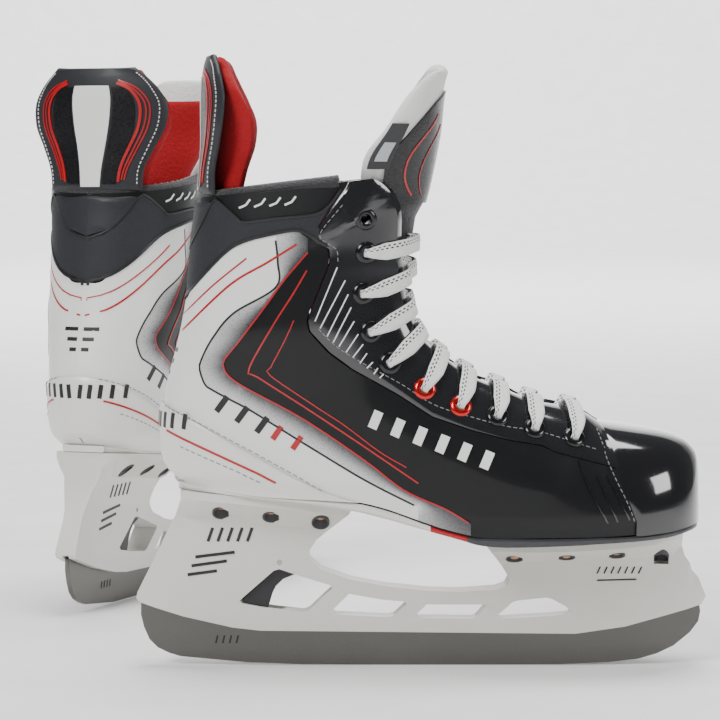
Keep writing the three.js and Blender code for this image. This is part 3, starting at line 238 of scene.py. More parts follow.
def join(parts):
    V, F, n = [], [], 0
    for v, f in parts:
        V.append(np.asarray(v).reshape(-1, 3)); F += [tuple(i + n for i in q) for q in f]; n += len(V[-1])
    return np.concatenate(V), F
def tube(P, r, seg=8, flat=None, cap=True, closed=False):
    """Round or flat tube along points P; flat=(width, thickness, N) gives a band with its normals."""
    P = np.array(P, float); n = len(P); Tn = np.gradient(P, axis=0); Tn /= np.maximum(np.linalg.norm(Tn, axis=1, keepdims=True), 1e-9)
    if flat: N = np.array(flat[2], float)
    else:
        N = np.zeros_like(P); u = np.array([0, 0, 1.0]) if abs(Tn[0][2]) < 0.9 else np.array([1.0, 0, 0])
        for k in range(n):
            u = u - Tn[k] * (u @ Tn[k]); u /= max(np.linalg.norm(u), 1e-9); N[k] = u
    Bn = np.cross(Tn, N); Bn /= np.maximum(np.linalg.norm(Bn, axis=1, keepdims=True), 1e-9); N = np.cross(Bn, Tn)
    rings = []
    for j in range(seg):
        a = 2 * math.pi * j / seg + (math.pi / seg if flat else 0); c, s = math.cos(a), math.sin(a)
        if flat: e = 0.35; a1 = np.sign(c) * abs(c) ** e * flat[0] / 2; a2 = np.sign(s) * abs(s) ** e * flat[1] / 2
        else: a1, a2 = c * np.asarray(r), s * np.asarray(r)
        a1 = np.broadcast_to(a1, (n,))[:, None]; a2 = np.broadcast_to(a2, (n,))[:, None]
        rings.append(P + Bn * a1 + N * a2)
    V = np.stack(rings, 1).reshape(-1, 3); F = []
    for k in range(n - 1):
        for j in range(seg): a = k * seg + j; b = k * seg + (j + 1) % seg; F.append((a, b, b + seg, a + seg))
    if cap: F.append(tuple(range(seg - 1, -1, -1))); F.append(tuple((n - 1) * seg + j for j in range(seg)))
    return V, F
def on_skin(L, s, h):
    L = np.array(L, float); x = np.maximum(L[:, 0], xb(L[:, 1]) + 0.03); z = L[:, 1]; N = skin_normal(x, z, s); return np.stack([x, s * (w(x, z) + 0.15), z], 1) + N * h, N
def ribbon(Lpx, width, h, s, t=0.35, raw=False):
    L = smooth_line(Lpx if raw else onto(Lpx), 2.0); P, N = on_skin(L, s, h); return tube(P, 0, 6, flat=(width, t, N))
def stitches(Lpx, s, h, length=2.2, gap=1.3, r=0.28, raw=False):
    L = smooth_line(Lpx if raw else onto(Lpx), 0.6); P, N = on_skin(L, s, h); d = np.concatenate([[0], np.cumsum(np.linalg.norm(np.diff(P, axis=0), axis=1))]); out = []; a = 0.4
    while a + length < d[-1]:
        q = np.linspace(a, a + length, 4); p = np.stack([np.interp(q, d, P[:, k]) for k in range(3)], 1); p[0] -= N[np.searchsorted(d, q[0])] * 0.25; p[-1] -= N[min(len(N) - 1, np.searchsorted(d, q[-1]))] * 0.25
        out.append(tube(p, r, 5)); a += length + gap
    return join(out)

# ---- materials -----------------------------------------------------------
def mat(name, base, rough=0.4, metal=0.0, coat=0.0, spec=0.5, grain=60.0, dr=0.12, bump=0.15, bdist=0.0002, sheen=0.0, second=None, band=None, coat_rough=0.1, weave=None, aniso=None):
    m = bpy.data.materials.new(name); m.use_nodes = True; nt = m.node_tree; N, Lk = nt.nodes, nt.links
    p = N["Principled BSDF"]; p.inputs["Metallic"].default_value = metal
    p.inputs["Coat Weight"].default_value = coat; p.inputs["Coat Roughness"].default_value = coat_rough; p.inputs["Specular IOR Level"].default_value = spec; p.inputs["Sheen Weight"].default_value = sheen
    tx = N.new("ShaderNodeTexCoord"); nz = N.new("ShaderNodeTexNoise"); nz.inputs["Scale"].default_value = grain; nz.inputs["Detail"].default_value = 4.0
    if aniso:
        mp = N.new("ShaderNodeMapping"); mp.inputs["Scale"].default_value = aniso; Lk.new(tx.outputs["Object"], mp.inputs["Vector"]); Lk.new(mp.outputs["Vector"], nz.inputs["Vector"])
    else: Lk.new(tx.outputs["Object"], nz.inputs["Vector"])
    mr = N.new("ShaderNodeMapRange"); mr.inputs["From Min"].default_value = 0.3; mr.inputs["From Max"].default_value = 0.7; mr.inputs["To Min"].default_value = max(0.02, rough - dr / 2); mr.inputs["To Max"].default_value = min(1, rough + dr / 2)
    Lk.new(nz.outputs["Fac"], mr.inputs["Value"]); Lk.new(mr.outputs["Result"], p.inputs["Roughness"])
    mix = N.new("ShaderNodeMix"); mix.data_type = "RGBA"; c = (*base, 1); d = tuple(max(0, v * 0.88) for v in base) + (1,)
    mix.inputs["A"].default_value = d; mix.inputs["B"].default_value = c; big = N.new("ShaderNodeTexNoise"); big.inputs["Scale"].default_value = 18.0; Lk.new(tx.outputs["Object"], big.inputs["Vector"]); Lk.new(big.outputs["Fac"], mix.inputs["Factor"])
    col = mix.outputs["Result"]
    if second:  # (colour, axis weights, from, to) along the local place
        at = N.new("ShaderNodeAttribute"); at.attribute_name = "loc"; dp = N.new("ShaderNodeVectorMath"); dp.operation = "DOT_PRODUCT"; dp.inputs[1].default_value = second[1]; Lk.new(at.outputs["Vector"], dp.inputs[0])
        r2 = N.new("ShaderNodeMapRange"); r2.interpolation_type = "SMOOTHSTEP"; r2.inputs["From Min"].default_value = second[2]; r2.inputs["From Max"].default_value = second[3]; Lk.new(dp.outputs["Value"], r2.inputs["Value"])
        m2 = N.new("ShaderNodeMix"); m2.data_type = "RGBA"; m2.inputs["B"].default_value = (*second[0], 1); Lk.new(r2.outputs["Result"], m2.inputs["Factor"]); Lk.new(col, m2.inputs["A"]); col = m2.outputs["Result"]
    if band: col = band(nt, col)
    Lk.new(col, p.inputs["Base Color"])
    h = nz.outputs["Fac"]
    if weave:  # threads per metre
        wv = N.new("ShaderNodeTexVoronoi"); wv.inputs["Scale"].default_value = weave; Lk.new(tx.outputs["Object"], wv.inputs["Vector"]); ad = N.new("ShaderNodeMath"); ad.operation = "ADD"; Lk.new(h, ad.inputs[0]); Lk.new(wv.outputs["Distance"], ad.inputs[1]); h = ad.outputs["Value"]
    bp = N.new("ShaderNodeBump"); bp.inputs["Strength"].default_value = bump; bp.inputs["Distance"].default_value = bdist; Lk.new(h, bp.inputs["Height"]); Lk.new(bp.outputs["Normal"], p.inputs["Normal"])
    return m
def lace_band(nt, col):
    N, Lk = nt.nodes, nt.links; at = N.new("ShaderNodeAttribute"); at.attribute_name = "luv"; sp = N.new("ShaderNodeSeparateXYZ"); Lk.new(at.outputs["Vector"], sp.inputs[0])
    def mth(op, a, b=None, c=None):
        n = N.new("ShaderNodeMath"); n.operation = op
        for k, v in enumerate((a, b, c)):
            if v is None: continue
            if isinstance(v, (int, float)): n.inputs[k].default_value = v
            else: Lk.new(v, n.inputs[k])
        return n.outputs[0]
    dash = mth("LESS_THAN", mth("FRACT", mth("DIVIDE", sp.outputs["X"], 3.0)), 0.5); dash2 = mth("GREATER_THAN", mth("FRACT", mth("DIVIDE", sp.outputs["X"], 3.0)), 0.5)
    row = lambda v: mth("LESS_THAN", mth("ABSOLUTE", mth("SUBTRACT", sp.outputs["Y"], v)), 0.09); f = mth("MAXIMUM", mth("MULTIPLY", dash, row(0.68)), mth("MULTIPLY", dash2, row(0.36)))
    m = N.new("ShaderNodeMix"); m.data_type = "RGBA"; m.inputs["B"].default_value = (0.02, 0.02, 0.022, 1); Lk.new(f, m.inputs["Factor"]); Lk.new(col, m.inputs["A"]); return m.outputs["Result"]
M = dict(
    black=mat("quarter_gloss_black", (0.0045, 0.0047, 0.0055), 0.45, spec=0.2, coat=0.28, coat_rough=0.09, grain=900, bump=0.12, bdist=0.0001, dr=0.12),
    stay=mat("eyestay_gloss_black", (0.010, 0.010, 0.012), 0.14, coat=1.0, coat_rough=0.06, grain=1200, bump=0.08, dr=0.06),
    toe=mat("toe_gloss_black", (0.006, 0.006, 0.007), 0.12, coat=1.0, coat_rough=0.05, grain=700, bump=0.05, dr=0.05),
    pearl=mat("quarter_pearl", (0.80, 0.80, 0.78), 0.34, metal=0.15, coat=0.5, coat_rough=0.2, grain=1400, bump=0.15, second=((0.16, 0.165, 0.175), (0.72, 0, 0.35), 0.002, 0.034)),
    silver=mat("quarter_silver", (0.60, 0.60, 0.60), 0.30, metal=0.35, coat=0.6, coat_rough=0.15, grain=1400, bump=0.1, second=((0.045, 0.045, 0.05), (1, 0, 0), 0.05, 1.0)),
    white=mat("trim_white", (0.82, 0.82, 0.80), 0.42, coat=0.2, grain=900, bump=0.12),
    heel=mat("heel_white", (0.78, 0.77, 0.73), 0.38, coat=0.3, grain=700, bump=0.12),
    collar=mat("collar_charcoal", (0.024, 0.025, 0.029), 0.58, spec=0.25, grain=1500, bump=0.5, weave=900, bdist=0.0002),
    knit=mat("collar_knit", (0.018, 0.018, 0.020), 0.85, sheen=0.3, grain=900, bump=0.8, weave=700, bdist=0.0005),
    red=mat("trim_red", (0.42, 0.004, 0.007), 0.36, coat=0.3, grain=900, bump=0.1),
    redpad=mat("pad_red", (0.33, 0.003, 0.007), 0.78, spec=0.25, sheen=0.08, grain=1200, bump=0.5, weave=450, bdist=0.0005),
    redmetal=mat("eyelet_red", (0.55, 0.012, 0.010), 0.22, metal=0.7, coat=0.5, grain=600, bump=0.05),
    blackmetal=mat("eyelet_black", (0.014, 0.014, 0.016), 0.22, metal=0.6, coat=0.5, grain=600, bump=0.05),
    line=mat("line_black", (0.012, 0.012, 0.013), 0.4, grain=800),
    felt=mat("tongue_felt", (0.76, 0.76, 0.74), 0.95, sheen=0.5, grain=450, bump=0.9, bdist=0.0007, dr=0.1),
    feltdark=mat("tongue_felt_dark", (0.030, 0.030, 0.033), 0.92, sheen=0.4, grain=450, bump=0.9, bdist=0.0006, dr=0.1),
    shield=mat("shield_gloss", (0.007, 0.007, 0.008), 0.30, coat=0.25, spec=0.3, coat_rough=0.15, grain=700, bump=0.03),
    tag=mat("tag_fabric", (0.040, 0.040, 0.043), 0.8, grain=1500, bump=0.5, weave=1200),
    greypatch=mat("tag_grey", (0.42, 0.43, 0.44), 0.7, grain=1500, bump=0.4),
    guard=mat("guard_charcoal", (0.021, 0.022, 0.026), 0.5, spec=0.3, coat=0.05, grain=1300, bump=0.4),
    holder=mat("holder_off_white", (0.70, 0.69, 0.64), 0.40, coat=0.25, coat_rough=0.25, grain=500, bump=0.12, dr=0.1),
    # rivet pocket lining colour: painted shade standing in for the shade inside the holder's rivet pockets
    shade_lining=mat("rivet_pocket_painted_shade", (0.05, 0.05, 0.052), 0.6, grain=800),
    steel=mat("runner_steel", (0.155, 0.15, 0.14), 0.34, metal=1.0, grain=120, bump=0.12, bdist=0.00005, aniso=(6, 6, 60), dr=0.16),
    trigger=mat("trigger_plastic", (0.020, 0.020, 0.022), 0.42, grain=700),
    pin=mat("pin_steel", (0.5, 0.5, 0.5), 0.3, metal=1.0, grain=700),
    copper=mat("rivet_copper", (0.72, 0.36, 0.19), 0.30, metal=1.0, grain=800, bump=0.2),
    solecream=mat("sole_cream", (0.74, 0.73, 0.68), 0.42, coat=0.2, grain=700),
    soledark=mat("sole_dark", (0.040, 0.041, 0.044), 0.45, coat=0.15, grain=700),
    solegrey=mat("sole_grey", (0.30, 0.30, 0.30), 0.45, grain=700),
    board=mat("insole_board", (0.32, 0.24, 0.15), 0.85, grain=500, bump=0.5),
    footbed=mat("footbed_foam", (0.42, 0.03, 0.03), 0.85, sheen=0.3, grain=700, bump=0.6, weave=500),
    liner=mat("liner_fabric", (0.33, 0.003, 0.007), 0.84, spec=0.25, sheen=0.08, grain=900, bump=0.8, weave=330, bdist=0.0006),
    thread=mat("thread_white", (0.72, 0.72, 0.70), 0.7, grain=2500, bump=0.4),
    threadgrey=mat("thread_grey", (0.22, 0.22, 0.225), 0.7, grain=2500, bump=0.4),
    threadred=mat("thread_red", (0.45, 0.03, 0.03), 0.7, grain=2500, bump=0.4),
    lace=mat("lace_woven", (0.80, 0.80, 0.78), 0.85, sheen=0.3, grain=1500, bump=0.7, weave=1100, bdist=0.0004, band=lace_band),
)

# ---- boot shell ----------------------------------------------------------
SHELL = 2.8
def cols(a, b, n): return np.linspace(a, b, n)
def quarter(s):
    I = cols(0, 26, 118); Q = cols(0, 1, 44); A, Bq = np.meshgrid(I, Q, indexing="ij")
    t = tc(A) * Bq ** expo(A); o, e = Oc(A), Ec(A); x = o[..., 0] + (e[..., 0] - o[..., 0]) * t; z = o[..., 1] + (e[..., 1] - o[..., 1]) * t
    P = skin(x, z, s); N = skin_normal(x, z, s)
    return thick(P, -SHELL, 0, (-20, 0, 110), N)
def outer_grid(I, Q, s):
    A, Bq = np.meshgrid(I, Q, indexing="ij"); t = tc(A) + 0.006 + (1 - tc(A) - 0.006) * Bq; o, e = Oc(A), Ec(A)
    x = o[..., 0] + (e[..., 0] - o[..., 0]) * t; z = o[..., 1] + (e[..., 1] - o[..., 1]) * t; return x, z
def stay(s):
    I = cols(0, 26, 150); Q = cols(0, 1, 16); x, z = outer_grid(I, Q, s); P = skin(x, z, s)
    q = np.minimum(Q, 1 - Q)[None, :] + 0 * x; h = 1.0 - 0.9 * (1 - np.clip(q / 0.10, 0, 1)) ** 2
    return thick(P, -SHELL, h, (-20, 0, 110), skin_normal(x, z, s))
EYES = np.array(T['EYES'], float)
def eye_frame(k, s):
    x, z = EYES[k]; p = np.array([x, s * float(w(x, z)), z]); n = skin_normal(np.array([x]), np.array([z]), s)[0]
    u = np.cross(n, [0, 0, 1.0]); u /= np.linalg.norm(u); return p, n, u, np.cross(n, u)
def lathe(p, n, u, v, prof, seg=24, closed=True):
    V, F = [], []
    for r, y in prof:
        for j in range(seg): a = 2 * math.pi * j / seg; V.append(p + n * y + (u * math.cos(a) + v * math.sin(a)) * r)
    m = len(prof)
    for i in range(m if closed else m - 1):
        for j in range(seg): a, b = i * seg + j, i * seg + (j + 1) % seg; c, d = ((i + 1) % m) * seg + (j + 1) % seg, ((i + 1) % m) * seg + j; F.append((a, b, c, d))
    return np.array(V), F
RING = [(2.5, -4.6), (3.2, -4.6), (3.25, 1.0), (5.6, 1.15), (5.85, 1.55), (5.6, 2.1), (4.6, 2.6), (3.4, 2.95), (2.75, 2.6), (2.5, 1.9)]
def cut(ob, parts):
    V, F = join(parts); me = bpy.data.meshes.new("cut"); me.from_pydata(V.tolist(), [], F); bm = bmesh.new(); bm.from_mesh(me); bmesh.ops.recalc_face_normals(bm, faces=bm.faces); bm.to_mesh(me); bm.free()
    c = bpy.data.objects.new("cut", me); bpy.context.scene.collection.objects.link(c); m = ob.modifiers.new("cut", "BOOLEAN"); m.object = c; m.operation = "DIFFERENCE"; m.solver = "EXACT"
    dg = bpy.context.evaluated_depsgraph_get(); new = bpy.data.meshes.new_from_object(ob.evaluated_get(dg)); ob.modifiers.clear(); old = ob.data; ob.data = new; new.name = ob.name; bpy.data.objects.remove(c); bpy.data.meshes.remove(me); bpy.data.meshes.remove(old)
for s, side in ((-1, "lateral"), (1, "medial")):
    v, f = quarter(s); put("quarter_" + side, v, f, M["black"], rep=["quarter_" + side], slot="quarter_film")
    v, f = stay(s); put("eyestay_" + side, v, f, M["stay"], rep=["eyestay_" + side], slot="eyestay_gloss", angle=30)
    for sk in ("right", "left"):
        cyl = []
        for k in range(10):
            p, n, u, vv = eye_frame(k, s); c, cf = lathe(p, n, u, vv, [(3.5, -9), (3.5, 7)], 20, closed=False); cf = cf + [tuple(range(19, -1, -1)), tuple(range(20, 40))]; cyl.append((to_world(c, sk), cf))
        cut(PIECES[sk + "_v_eyestay_" + side], cyl)
    for col, ks in (("black", [0, 1, 2, 5, 6, 7, 8, 9]), ("red", [3, 4])):
        v, f = join([lathe(*eye_frame(k, s), RING) for k in ks])
        put("eyelets_" + side + "_" + col, v, f, M["blackmetal" if col == "black" else "redmetal"], rep=["eyelets_" + side], slot="eyelet_metal", angle=50)
# Heel cap
def heel(h0=0.9, h1=2.2):
    A, Q = np.meshgrid(np.linspace(-0.97, 0.97, 81), np.linspace(0, 1, 18), indexing="ij"); s = np.where(A < 0, 1.0, -1.0); u = np.abs(A); TIP = (354 - 420) * PX
    ht = pchip(pxs([(163, 400), (201, 419), (242, 442), (282, 464), (323, 486), (354, 496.5)])); d = u * u * (TIP + 136); zt0 = ht(np.maximum(-136 + d, -136)); x0 = xb(97 + (zt0 - 97) * Q)
    x = np.maximum(x0 + (-136 + d - x0) * sst(0, 0.35, u), x0 + d * 0.9); z = zs(x) + 0.4 + (np.maximum(ht(x), zs(x) + 1.2) - zs(x) - 0.4) * Q; xx = np.maximum(x, xb(z) + d * 0.9)
    y = s * (w(xx, z) + 0.15); y[u < 1e-9] = 0; P = np.stack([xx, y, z], -1); e = np.minimum(1 - Q, (0.97 - u) * 3); return thick(P, h0, h1 - 0.9 * (1 - np.clip(e / 0.08, 0, 1)) ** 2, (-60, 0, 110))
v, f = heel(); put("heel_cap", v, f, M["heel"], rep=["heel_cap"], slot="heel_white", angle=35)
# Toe cap
def toe(off0=-3.0, off1=0.0, ulo=0.0, uhi=1.0, amax=math.pi / 2, nu=46, na=56):
    U, A = np.meshgrid(np.linspace(ulo, uhi, nu), np.linspace(-amax, amax, na), indexing="ij")
    def sec(x, a):
        sgn = np.sign(np.sin(a)); b = Bc(np.minimum(x, NOSE)); s_ = zs(x); h = zTop(np.maximum(x, 95)); y = b * sgn * np.abs(np.sin(a)) ** (2 / 2.3); z = s_ + 8 + (h - s_ - 8) * np.maximum(np.cos(a), 0) ** (2 / 2.3); return y, z
    x0 = np.full_like(A, 102.0)
    a_, e_ = Oc(0.0), Ec(0.0)
    for _ in range(8): _, z = sec(x0, A); x0 = a_[0] + (e_[0] - a_[0]) * (z - a_[1]) / (e_[1] - a_[1]) - 2.0
    x = x0 + (NOSE - 0.02 - x0) * (1 - (1 - U) ** 2.4); y, z = sec(x, A); P = np.stack([x, y, z], -1)
    return P, A, x - x0
P, A, DX = toe(); b = Bc(np.minimum(P[..., 0], NOSE)); lo = np.stack([P[:, :1, 0], P[:, :1, 1] * 0.96, zs(P[:, :1, 0]) + 0.3], -1); hi = np.stack([P[:, -1:, 0], P[:, -1:, 1] * 0.96, zs(P[:, -1:, 0]) + 0.3], -1)
mid = lambda a, c, t: a + (c - a) * t
G = np.concatenate([lo, mid(lo, P[:, :1], 0.33), mid(lo, P[:, :1], 0.66), P, mid(hi, P[:, -1:], 0.66), mid(hi, P[:, -1:], 0.33), hi], 1)
du, dv = np.gradient(G, axis=0), np.gradient(G, axis=1); NG = np.cross(du, dv); NG /= np.maximum(np.linalg.norm(NG, axis=2, keepdims=True), 1e-9)
if (NG[20, 30] * (G[20, 30] - np.array([110, 0, 90]))).sum() < 0: NG = -NG
NG = np.where((NG * (G - np.array([95, 0, 88]))).sum(2, keepdims=True) < 0, -NG, NG); NG[-1] = (1, 0, 0); NG[-2] = NG[-2] + np.array([1.0, 0, 0]); NG /= np.linalg.norm(NG, axis=2, keepdims=True)
dx = np.concatenate([DX[:, :1]] * 3 + [DX] + [DX[:, -1:]] * 3, 1); h1 = 0.2 + 0.75 * np.sqrt(np.clip(dx / 1.0, 0, 1)); h0 = np.where(dx < 3.2, 0.1, -2.4)
v, f = thick(G, h0, h1, (110, 0, 90), NG); put("toe_cap", v, f, M["toe"], rep=["toe_cap"], slot="toe_gloss", angle=50)
# Outsole in three colours
def sole(x0, x1, dz0=0.0, dz1=0.0, grow=0.0, full=True):
    X = x0 + (x1 - x0) * (1 - np.cos(np.linspace(0, math.pi, 44))) / 2; rows = []
    for x in X:
        h = float(Bc(x) * 0.96) if x > 88 else max(0.8, float(w(max(x, float(xb(zs(x))) + 0.02), zs(x) + 3)) / 0.955 * 0.985)
        h += grow; t = float(zs(x)) - 0.05 + dz1; b = float(zb(x)) + dz0; e = min(1.2, h * 0.3, (t - b) * 0.3)
        rows.append([(x, -h + e, b), (x, h - e, b), (x, h, b + e), (x, h, t - e), (x, h - e, t), (x, -h + e, t), (x, -h, t - e), (x, -h, b + e)])
    V = np.array(rows).reshape(-1, 3); n = 8; F = [(i * n + j, i * n + (j + 1) % n, (i + 1) * n + (j + 1) % n, (i + 1) * n + j) for i in range(len(X) - 1) for j in range(n)]
    return V, F + [tuple(range(n - 1, -1, -1)), tuple((len(X) - 1) * n + j for j in range(n))]
for nm, a, c, m in (("rear", -127.2, 5.0, "solecream"), ("band", 5.05, 24.0, "red"), ("fore", 24.05, 147.6, "soledark")):
    v, f = sole(a, c); put("outsole_" + nm, v, f, M[m], rep=["outsole"], slot="sole_plastic", angle=40)
# Liner and rolled collar
I = cols(15.6, 26, 50); Q = cols(-1, 1, 90); A, Bq = np.meshgrid(I, Q, indexing="ij"); a = np.abs(Bq); t = (tc(A) - 0.03) * a ** expo(A); o, e = Oc(A), Ec(A)
x = o[..., 0] + (e[..., 0] - o[..., 0]) * t; z = o[..., 1] + (e[..., 1] - o[..., 1]) * t; sg = np.where(Bq >= 0, -1.0, 1.0); P = np.stack([x, sg * (w(x, z) + 0.15), z], -1); P[a < 1e-9, 1] = 0
puff = sst(21, 24.5, A) * 2.2 * np.clip((1 - a) / 0.2, 0, 1) ** 0.5
v, f = thick(P, -SHELL - 4.4 - puff, -SHELL - 1.0, (-60, 0, 160)); put("inner_liner", v, f, M["liner"], rep=["inner_liner"], slot="liner_fabric", padded=0.7)
rim = P[-1]; Nn = np.stack([0 * rim[:, 0] - 0.0, rim[:, 1] * 0, rim[:, 2] * 0], 1)
cen = np.array([(rim[:, 0].min() + rim[:, 0].max()) / 2, 0, 0]); inw = cen - rim; inw[:, 2] = 0; inw /= np.linalg.norm(inw, axis=1, keepdims=True)
roll = rim + inw * 4.0 + np.array([0, 0, -0.6]); v, f = tube(roll, 3.9, 12); put("collar_roll", v, f, M["knit"], body="boot", rep=["inner_liner"], slot="liner_fabric", padded=0.8)
d = np.concatenate([[0], np.cumsum(np.linalg.norm(np.diff(roll, axis=0), axis=1))]); st = []
for q in np.arange(4, d[-1] - 4, 5.0):
    c = np.array([np.interp(q, d, roll[:, k]) for k in range(3)]); iw = np.array([np.interp(q, d, inw[:, k]) for k in range(3)]); iw /= np.linalg.norm(iw)
    st.append(tube([c + iw * 4.05 * math.cos(t) + np.array([0, 0, 4.05 * math.sin(t)]) for t in np.linspace(-0.5, 1.2, 7)], 0.32, 5))
v, f = join(st); put("collar_stitch", v, f, M["thread"], rep=["inner_liner"], slot="liner_fabric")
# Tongue
lowT = [(3, -5, 24, 20), (6, -4.5, 25, 24), (9, -4.5, 25, 26), (12, -2.5, 26, 28), (15, 1, 27, 30), (18, 5.5, 27, 33), (20, 8, 27, 35), (21.6, 9.5, 27, 35)]
loO, loW, loD = (pchip([(r[0], r[k]) for r in lowT]) for k in (1, 2, 3))
def outward(i):
    i = np.asarray(i, float); a, b = Ec(i - 0.05), Ec(i + 0.05); d = b - a; L = np.linalg.norm(d, axis=-1, keepdims=True); return np.stack([d[..., 1], -d[..., 0]], -1) / L
def tongue_low(i, f, h=0.0):
    e, n = Ec(i), outward(i); hw = loW(i) + h; D = loD(i) + h; o = loO(i) + h - D * (1 - np.cos(f)); return np.stack([e[..., 0] + n[..., 0] * o, hw * np.sin(f), e[..., 1] + n[..., 1] * o], -1)
def edge_round(U, Vv, lo_u, hi_u, lo_v, hi_v, eu, ev):
    d = np.minimum(np.minimum((U - lo_u) / eu, (hi_u - U) / eu), np.minimum((Vv - lo_v) / ev, (hi_v - Vv) / ev)); d = np.clip(d, 0, 1); return np.sqrt(np.maximum(1 - (1 - d) ** 2, 0.02))
HP = math.pi / 2
A, Fq = np.meshgrid(np.linspace(3, 21.6, 70), np.linspace(-HP, HP, 40), indexing="ij"); P = tongue_low(A, Fq, -4.6); r = edge_round(A, Fq, 2.99, 21.61, -HP - 0.01, HP + 0.01, 0.7, 0.15)
v, f = thick(P, -3.5 * r, 3.5 * r, (-40, 0, 110)); put("tongue_lower", v, f, M["feltdark"], rep=["tongue_lower"], slot="tongue_felt_dark", padded=0.5)
up = pxs([(423, 201), (427, 186), (433, 158), (438, 130), (441, 100), (445, 80), (449, 68)]); upB = pxs([(365, 205), (361, 187), (366, 158), (385, 130), (405, 98), (420, 80), (436, 70)]); upW = [27, 29.5, 37, 39.5, 37, 31, 21]
upC = spline([(*p, *q, c) for p, q, c in zip(up, upB, upW)])
def tongue_up(k, f):
    c = upC(k); u = 1 - np.cos(f); return np.stack([c[..., 0] + (c[..., 2] - c[..., 0]) * u, c[..., 4] * np.sin(f), c[..., 1] + (c[..., 3] - c[..., 1]) * u], -1)
A, Fq = np.meshgrid(np.linspace(0, 6, 60), np.linspace(-HP, HP, 48), indexing="ij"); P = tongue_up(A, Fq); r = edge_round(A, Fq, -0.6, 6.01, -HP - 0.01, HP + 0.01, 0.55, 0.2)
v, f = thick(P, -4 - 4.6 * r, -4 + 4.4 * r, (-40, 0, 240)); put("tongue_upper", v, f, M["felt"], body="tongue_top", rep=["tongue_upper"], slot="tongue_felt", padded=0.6)
U, Fq = np.meshgrid(np.linspace(0, 1, 22), np.linspace(-1.35, 1.35, 36), indexing="ij"); Aa, Bb_ = tongue_low(np.full_like(U, 20.3), Fq, -1.4), tongue_up(np.full_like(U, 0.55), Fq); H3 = U * U * (3 - 2 * U)
P = Aa + (Bb_ - Aa) * H3[..., None]; P[..., 2] = Aa[..., 2] + (Bb_[..., 2] - Aa[..., 2]) * U; v, f = thick(P, -5.5, 0.15, (-40, 0, 200))
put("tongue_bend", v, f, M["feltdark"], rep=["tongue_lower"], slot="tongue_felt_dark", blend=("boot", "tongue_top", tuple(P[0].mean(0)), tuple(P[-1].mean(0))))
A, Fq = np.meshgrid(np.linspace(0.1, 4.3, 40), np.linspace(-1.38, 1.38, 36), indexing="ij"); r = edge_round(A, Fq, 0.09, 4.31, -1.381, 1.381, 0.2, 0.1); v, f = thick(tongue_up(A, Fq), -8.3 - 1.2 * r, -8.0, (-40, 0, 240)); put("tongue_lining", v, f, M["redpad"], body="tongue_top", rep=["tongue_upper"], slot="tongue_felt")
fm = pchip([(0, 66), (1, 71), (2, 72), (3, 62), (3.8, 40), (4.3, 14), (4.5, 4)])
def shield(h0, h1, k0, k1, v0, v1, nk=44, nv=36, fmax=None):
    A, Vv = np.meshgrid(np.linspace(k0, k1, nk), np.linspace(v0, v1, nv), indexing="ij"); return thick(tongue_up(A, Vv * np.radians((fmax or fm)(A))), h0, h1, (-40, 0, 240))
v, f = shield(0.6, 1.9, 0.0, 4.45, -1, 1); put("tongue_shield", v, f, M["shield"], body="tongue_top", rep=["tongue_shield"], slot="shield_gloss", angle=40)
def tline(pts, width, h=2.1, t=0.35):
    L_ = smooth_line(pts, 0.15); P_ = tongue_up(L_[:, 0], L_[:, 1]); a_, c_ = tongue_up(L_[:, 0] + 0.01, L_[:, 1]) - P_, tongue_up(L_[:, 0], L_[:, 1] + 0.01) - P_; N_ = np.cross(a_, c_); N_ /= np.linalg.norm(N_, axis=1, keepdims=True); N_[N_[:, 0] < 0] *= -1; return tube(P_ + N_ * h, 0, 6, flat=(width, t, N_))
v, f = join([tline([(0.6, s * 0.75), (1.6, s * 0.95), (2.6, s * 0.85), (3.5, s * 0.5)], 1.2) for s in (-1, 1)] + [tline([(0.6, s * 0.5), (1.5, s * 0.65), (2.4, s * 0.55), (3.2, s * 0.3)], 0.7) for s in (-1, 1)]); put("shield_lines", v, f, M["red"], body="tongue_top", rep=["tongue_shield"], slot="shield_gloss")
one = lambda A: np.full_like(np.asarray(A, float), 1.0) * 57.29578
v, f = shield(1.0, 1.9, 1.7, 3.2, -1.52, -1.2, 14, 8, one); put("tongue_size_tag", v, f, M["tag"], body="tongue_top", rep=["tongue_size_tag"], slot="tag_fabric")
v, f = shield(1.85, 2.25, 1.95, 2.6, -1.45, -1.27, 8, 6, one); put("tag_patch", v, f, M["greypatch"], body="tongue_top", rep=["tongue_size_tag"], slot="tag_fabric")
# Tendon guard
gR = pxs([(198.5, 193), (200, 170), (202, 145), (202, 120), (202, 96), (203, 78), (205, 65), (208, 56)]); gF = pxs([(214, 193), (214, 170), (219, 145), (223, 122), (225, 98), (222, 80), (219, 68), (213, 57)]); gW = [31, 32, 38, 44, 45, 40, 34, 26]
pF = pxs([(236, 193), (242, 170), (250, 145), (250, 122), (239, 98), (230, 82), (223, 72), (215, 66)])
gC = spline([(*p, *q, c, *r) for p, q, c, r in zip(gR, gF, gW, pF)])
def guard(k, v): c = gC(k); return np.stack([c[..., 0] + (c[..., 2] - c[..., 0]) * v * v, c[..., 4] * v, c[..., 1] + (c[..., 3] - c[..., 1]) * v * v], -1)
def pad(k, v): c = gC(k); X = c[..., 0] + 4.6; return np.stack([X + (c[..., 5] - X) * v * v, (c[..., 4] - 2.5) * v, c[..., 1] + (c[..., 6] - c[..., 1]) * v * v], -1)
